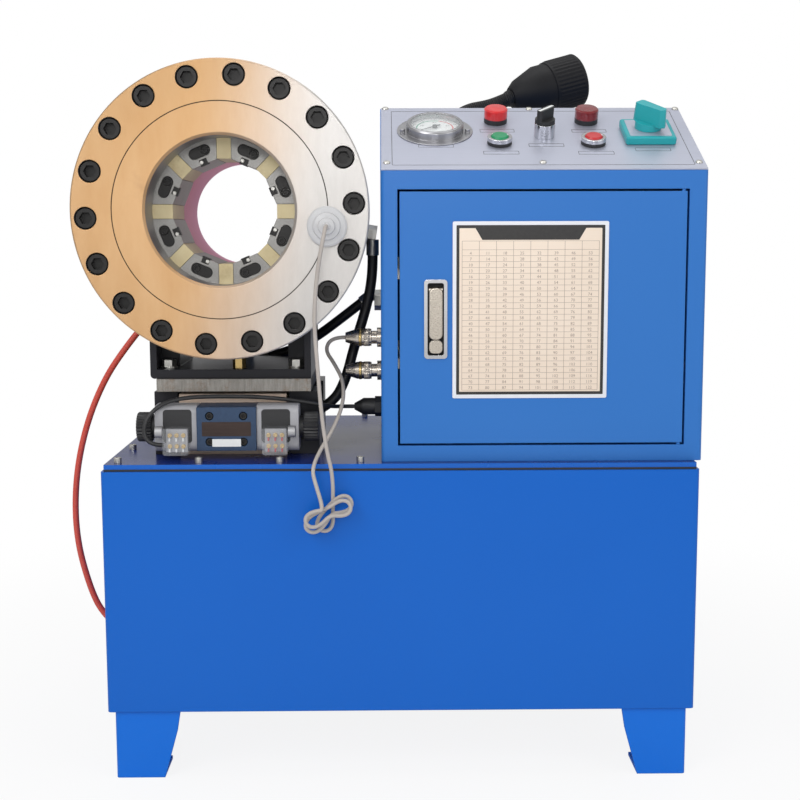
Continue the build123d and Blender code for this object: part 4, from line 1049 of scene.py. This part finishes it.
def brass_fitting():
    """The oil fitting that stands on the saddle below the cylinder."""
    shape = Shape()
    foot = place(at(-194.6, 80, 486), (0, 0, 1))
    shape.prism(foot, hexagon_points(14.0), 0.0, 13.0)
    shape.turned(foot, [(4.5, 13.0), (4.5, 19.0)], 24)
    shape.made("brass_fitting", brass, "machine", "zinc", bevel=0.5)


# ---- valve


valve_centre = (-206.0, 32.0, 418.5)
valve_half_width = 35.25
coil_length = 50.0


def valve():
    """The casting with its screws, its brown label and the white strip below."""
    body, *screws = islands("valve_body")
    hides = ["valve_body"]
    dressed("valve_casting", body, valve_enamel, "machine", hides, bevel=0.8)
    shape = Shape()
    for data in screws:
        spot = middle(data)
        front = place(Vector((spot.x, min(v.co.y for v in data.vertices), spot.z)), (0, -1, 0))
        socket_screw(shape, front, 4.2, 4.6, 4.2, 3.0)
    shape.made("valve_screws", black_oxide, "machine", "black_steel")
    face = place(at(*valve_centre), (0, -1, 0))
    label = Shape().prism(face, rounded(58, 17, 1), 0.0, 0.35)
    label.made("valve_label", label_brown, "machine", "valve_paint")
    below = face @ Matrix.Translation((0, -0.0165, 0))
    strip = Shape().prism(below, rounded(34, 9, 0.6), 0.0, 0.35)
    strip.made("valve_strip", dial_white, "machine", "valve_paint")


def coils():
    """The two coils, each with a recess, a clear terminal cover and a steel tube."""
    solids = islands("solenoids")
    left, right = sorted(solids[:2], key=lambda data: middle(data).x)
    plugs = sorted(solids[2:], key=lambda data: middle(data).x)
    for side, coil, plug in ((-1, left, plugs[0]), (1, right, plugs[1])):
        name = "left" if side < 0 else "right"
        hides = ["solenoids"] if side < 0 else []
        dressed(f"{name}_coil", coil, coil_grey, "machine", hides, bevel=0.6)
        dressed(f"{name}_cover", plug, smoky_cover, "machine", bevel=0.6)
        spot = mm(middle(plug))
        front = place(at(spot.x, 35.0, valve_centre[2]), (0, -1, 0))
        raised = front @ Matrix.Translation((0, 0.003, 0))
        recess = Shape().prism(raised, rounded(34, 40, 4), -1.5, 0.3)
        recess.made(f"{name}_recess", black_plastic, "machine", "black_plastic")
        inside = place(at(spot.x, 34.0, spot.z), (0, -1, 0))
        board = Shape().box(inside, -12.5, 12.5, -13.5, 13.5, -1.0, 6.0)
        board.made(f"{name}_terminal_block", coil_grey, "machine", "coil_plastic")
        metal, leads = Shape(), Shape()
        for row in range(2):
            for column in range(3):
                offset = ((column - 1) * 0.008, (row - 0.5) * 0.013, 0.006)
                terminal = inside @ Matrix.Translation(offset)
                top = terminal @ Matrix.Translation((0, 0, 0.003))
                socket_screw(metal, top, 2.6, 3.0, 2.2, 1.2)
                leads.box(terminal, -0.9, 0.9, -6.5, -2.8, 0.5, 6.0)
        metal.made(f"{name}_terminals", brass, "machine", "zinc")
        leads.made(f"{name}_leads", red_cap if side > 0 else dial_white, "machine", "coil_plastic")
        tube = place(at(spot.x + side * 15.3, 22.0, 417.0), (side, 0, 0))
        sleeve = Shape().turned(tube, [(6.5, 0.0), (7.0, 0.6), (7.0, 8.4), (6.5, 9.0)], 32)
        sleeve.made(f"{name}_gland", dull_aluminium, "machine", "zinc")


def coil_knobs():
    """The knurled nuts on the coils' outer ends."""
    shape = Shape()
    x, _, z = valve_centre
    for side in (-1, 1):
        end = x + side * (valve_half_width + coil_length)
        start = place(at(end, 55.0, z), (side, 0, 0))
        shape.turned(start, [(13.0, 0.0), (13.0, 5.0)], 32)
        grip, rim = star_points(17.8, 16.2, 26), star_points(16.4, 15.2, 26)
        levels = ((rim, 5.0), (grip, 6.5), (grip, 21.5), (rim, 23.0))
        shape.lofted(start, levels)
    shape.made("coil_knobs", black_plastic, "machine", "black_plastic", ["coil_nuts"])


# ---- fittings


def fittings():
    """The hoses' screwed ends and the connectors on the cabinet's wall, each in its own metal."""
    wall = cabinet_low.x
    hides = ["hose_fittings"]
    for index, data in enumerate(islands("hose_fittings")):
        spot = mm(middle(data))
        on_wall = abs(middle(data).x - wall) < 0.025 and spot.y < 130
        finish = nickel if on_wall and spot.z > 450 else black_plastic if on_wall else zinc
        dressed(f"fitting_{index + 1}", data, finish, "machine", hides, bevel=0.3)
        hides = []
    knurls = Shape()
    rings = Shape()
    for z in (520.7, 479.8):
        start = place(at(mm(cabinet_low).x, 110.0, z), (-1, 0, 0))
        sleeve, rim = star_points(10.9, 10.3, 36), star_points(10.2, 9.8, 36)
        levels = ((rim, 13.0), (sleeve, 14.0), (sleeve, 21.0), (rim, 22.0))
        knurls.lofted(start, levels)
        rings.turned(start, [(10.9, 24.0), (11.2, 24.6), (11.2, 27.0), (10.9, 27.6)], 32)
    knurls.made("connector_knurls", nickel, "machine", "zinc")
    rings.made("connector_rings", brass, "machine", "zinc")


def bolts():
    """Zinc socket screws round the cover plate."""
    shape = Shape()
    for data in islands("cover_bolts"):
        spot = middle(data)
        top = max(vertex.co.z for vertex in data.vertices)
        socket_screw(shape, place(Vector((spot.x, spot.y, top)), (0, 0, 1)), 4.5, 6.5, 4.2, 3.0)
    shape.made("cover_screws", zinc, "machine", "zinc", ["cover_bolts"])


# ---- panel


def panel_controls():
    """Collars of buttons, lamps and selector, and the cam switch's plate."""
    spots = {
        "start": (start_at, black_plastic),
        "stop": (stop_at, black_plastic),
        "selector": (selector_at, chrome),
        "left_lamp": (left_lamp_at, black_plastic),
        "right_lamp": (right_lamp_at, black_plastic),
        "cam_switch": (cam_switch_at, teal_plastic),
    }
    hides = ["panel_collars"]
    for data in islands("panel_collars"):
        here = middle(data)
        near = min(spots, key=lambda key: (on_panel(spots[key][0]).translation - here).length)
        finish = spots[near][1]
        dressed(f"{near}_collar", data, finish, "machine", hides, bevel=0.4)
        hides = []
    bezels = Shape()
    for where in (start_at, stop_at):
        bezels.band(on_panel(where), ring_points(14.95, 48), ring_points(10.8, 48), 4.2, 9.3)
    bezels.made("button_bezels", chrome, "machine", "chrome", bevel=0.6)
    insert = Shape().prism(on_panel(cam_switch_at), rounded(50, 50, 2), 9.8, 10.25)
    insert.made("cam_switch_insert", brushed_plate, "machine", "panel_plate")
    lenses = (
        ("left", left_lamp_at, red_lens, ["pilot_lenses"]),
        ("right", right_lamp_at, dark_lens, []),
    )
    profile = [(8.8, 1), (8.8, 6), (14.2, 6), (14.4, 7), (14.4, 16.5), (12.5, 18.2), (0.5, 19)]
    for side, where, finish, hides in lenses:
        lens = Shape().turned(on_panel(where), profile)
        lens.made(f"{side}_lens", finish, "machine", "red_lens", hides)


def panel_markings():
    """Screws, the line round the plate and the bare label frames below the controls."""
    screws = Shape()
    for where in ((6.4, 189), (7.5, 19), (188.6, 19), (187.9, 187), (373, 187), (370, 19)):
        screwed_down(screws, on_panel(where), 4.2, 2.2)
    screws.made("panel_screws", zinc, "machine", "zinc")
    lines = Shape()
    middle_at = ((cabinet_high.x - cabinet_low.x) * 500, 96.4)
    edge = (rounded(351, 168, 2), rounded(349.8, 166.8, 1.6))
    lines.band(on_panel(middle_at), *edge, 0.0, 0.12)
    below = ((gauge_at, 45), (start_at, 28), (selector_at, 28), (stop_at, 28), (cam_switch_at, 42))
    lamps = ((left_lamp_at, 29), (right_lamp_at, 29))
    for (u, v), drop in below + lamps:
        frame_at = on_panel((u, v - drop))
        lines.band(frame_at, rounded(42, 9.5, 0.8), rounded(41, 8.5, 0.6), 0.0, 0.12)
    lines.made("panel_lines", plate_black, "machine", "panel_plate")


def gauge():
    """Dial, coloured arcs, ticks and plain figures of the pressure gauge."""
    case, dial = islands("gauge_case")
    dressed("gauge_shell", case, gauge_chrome, "machine", ["gauge_case"], bevel=0.4)
    dressed("gauge_dial", dial, dial_white, "machine")
    face = on_panel(gauge_at, 4.65)
    ticks, green, red = Shape(), Shape(), Shape()
    zero, sweep, steps, green_steps = 225, 270, 40, 22
    for index in range(steps + 1):
        turn = radians(zero - sweep * index / steps)
        tick = face @ Matrix.Rotation(turn, 4, "Z")
        inner, half = (24.0, 0.3) if index % 5 == 0 else (26.0, 0.15)
        ticks.box(tick, inner, 28.5, -half, half, 0, 0.1)
        if index < steps:
            arc = green if index < green_steps else red
            width = radians(sweep / steps) / 2 * 22.4
            rotated = face @ Matrix.Rotation(turn - radians(sweep / 2 / steps), 4, "Z")
            arc.box(rotated, 21.2, 22.8, -width, width, 0, 0.1)
    ticks.made("gauge_ticks", plate_black, "machine", "needle_black")
    green.made("gauge_green_arc", dial_green, "machine", "green_button")
    red.made("gauge_red_arc", dial_red, "machine", "red_button")
    for index in range(0, 9, 2):
        turn = radians(zero - sweep * index / 8)
        spot = face @ Matrix.Translation((0.017 * cos(turn), 0.017 * sin(turn), 0.0001))
        name = f"gauge_figure_{index}"
        printed(name, str(index * 5), spot, 5.0, plate_black, "machine")


def selector_mark():
    """The white line along the selector's grip and down its end."""
    grip = on_panel(selector_at) @ Matrix.Rotation(radians(45), 4, "Z")
    stripe = Shape().box(grip, -12.0, 12.0, -1.6, 1.6, 34.9, 35.3)
    stripe.box(grip, 12.7, 13.15, -1.6, 1.6, 23.0, 35.3)
    stripe.made("selector_stripe", dial_white, "selector_knob", "black_plastic")


# ---- door


def data_plate():
    """The framed plate on the door: a grid of plain numbers under a dark heading."""
    width, height = 180.6, 205.4
    rim_width, border_width = 4.4, 3.4
    face = place(at(151.0, mm(cabinet_low).y, 558.7), (0, -1, 0))
    back = Shape().prism(face, rounded(width - 4, height - 4, 1), 0.0, 0.8)
    back.made("plate_field", champagne_plate, "door", "panel_plate")
    inside = [side - 2 * rim_width for side in (width, height)]
    rim = Shape().band(face, rounded(width, height, 2), rounded(*inside, 1), 0.0, 1.3)
    rim.made("plate_rim", rim_silver, "door", "panel_plate", bevel=0.25)
    field = [side - 2 * border_width for side in inside]
    dark = Shape().band(face, rounded(*inside, 1), rounded(*field, 0.6), 0.8, 0.95)
    brow = height / 2 - rim_width - border_width
    dark.prism(face, ((-56, brow - 13.5), (56, brow - 13.5), (64, brow), (-64, brow)), 0.8, 0.95)
    dark.made("plate_heading", plate_black, "door", "panel_plate")
    columns, rows = 8, 24
    grid_width, heading_row, pitch = width - 22, 10.0, 6.8
    top = height / 2 - 22.6
    foot = top - heading_row - rows * pitch
    lines = Shape()
    for column in range(columns + 1):
        x = (column / columns - 0.5) * grid_width
        lines.box(face, x - 0.22, x + 0.22, foot, top, 0.8, 0.92)
    for z in [top] + [foot + row * pitch for row in range(rows + 1)]:
        lines.box(face, -grid_width / 2, grid_width / 2, z - 0.18, z + 0.18, 0.8, 0.92)
    lines.made("plate_lines", plate_ink, "door", "panel_plate")
    size = 5.0
    for column in range(columns):
        x = ((column + 0.5) / columns - 0.5) * grid_width
        numbers = "\n".join(str(4 + 3 * row + 7 * column) for row in range(rows))
        spot = face @ Matrix.Translation((x / 1000, (top - heading_row - 1.6) / 1000, 0.00093))
        name = f"plate_column_{column + 1}"
        printed(name, numbers, spot, size, plate_ink, "door", pitch / size)


# ---- lamp


def lamp():
    """The work lamp's head: smooth cone, ribbed collar and a lens just inside the rim."""
    ball = at(164, 425, 840)
    axis = place(ball, (0.915, 0.29, 0.27), (0, 0, 1))
    shape = Shape()
    count, steps = 40, 4
    total = count * steps
    smooth = [(15, 2), (23, 12), (35, 44), (35, 60), (36.6, 61), (36.6, 64)]
    levels = [(ring_points(radius, total), z) for radius, z in smooth]
    levels += [(star_points(37.8, 36.3, count, steps), z) for z in (66.0, 103.0)]
    front = [(37.9, 105.0), (37.9, 107.5), (35.5, 110.0), (34.0, 109.0), (34.0, 106.0)]
    levels += [(ring_points(radius, total), z) for radius, z in front]
    shape.lofted(axis, levels)
    shape.made("lamp_shell", lamp_plastic, "lamp_head", "black_plastic", ["lamp_head"])
    lens = Shape().turned(axis, [(33.8, 106.2), (33.8, 107.0), (20.0, 108.0), (2.0, 108.6)], 64)
    lens.made("lamp_lens", clear_glass, "lamp_head", "black_plastic")


# ---- carried-over pieces


def carry(finish, *names):
    """A CAD node keeps its shape and gets its finish."""
    for name in names:
        data = nodes[name].data
        data.materials.clear()
        data.materials.append(finish())


camera()
lights()
world()
floor()
cords()
head_screws()
shoes()
squeezed_blocks()
brass_fitting()
valve()
coils()
coil_knobs()
fittings()
bolts()
panel_controls()
panel_markings()
gauge()
selector_mark()
data_plate()
lamp()

carry(blue_enamel, "tank")
carry(cabinet_enamel, "cabinet", "cabinet_back", "door")
carry(feet_enamel, "tank_feet")
carry(cover_enamel, "tank_cover")
carry(black_rubber, "cover_gasket")
carry(zinc, "die_shelves", "mount_bolts")
carry(black_plastic, "tank_fittings", "selector_knob", "lamp_base", "gauge_needle")
carry(corrugated_plastic, "lamp_neck")
carry(brushed_plate, "control_panel")
carry(latch_chrome, "latch_case")
carry(nickel, "latch_lever", "latch_button")
carry(clear_glass, "gauge_glass")
carry(green_cap, "start_button")
carry(red_cap, "stop_button")
carry(teal_plastic, "cam_switch_knob")
carry(flange_steel, "front_flange")
carry(turned_steel, "cylinder", "rear_cover", "piston", "motor_rotor")
carry(black_enamel, "riser_blocks", "saddle")
carry(flame_cut_steel, "base_plate")
carry(manifold_steel, "manifold")
carry(grey_plastic, "magnet_sensor")
carry(dull_aluminium, "motor", "pump")


scene = bpy.context.scene
scene.view_settings.view_transform = "Standard"
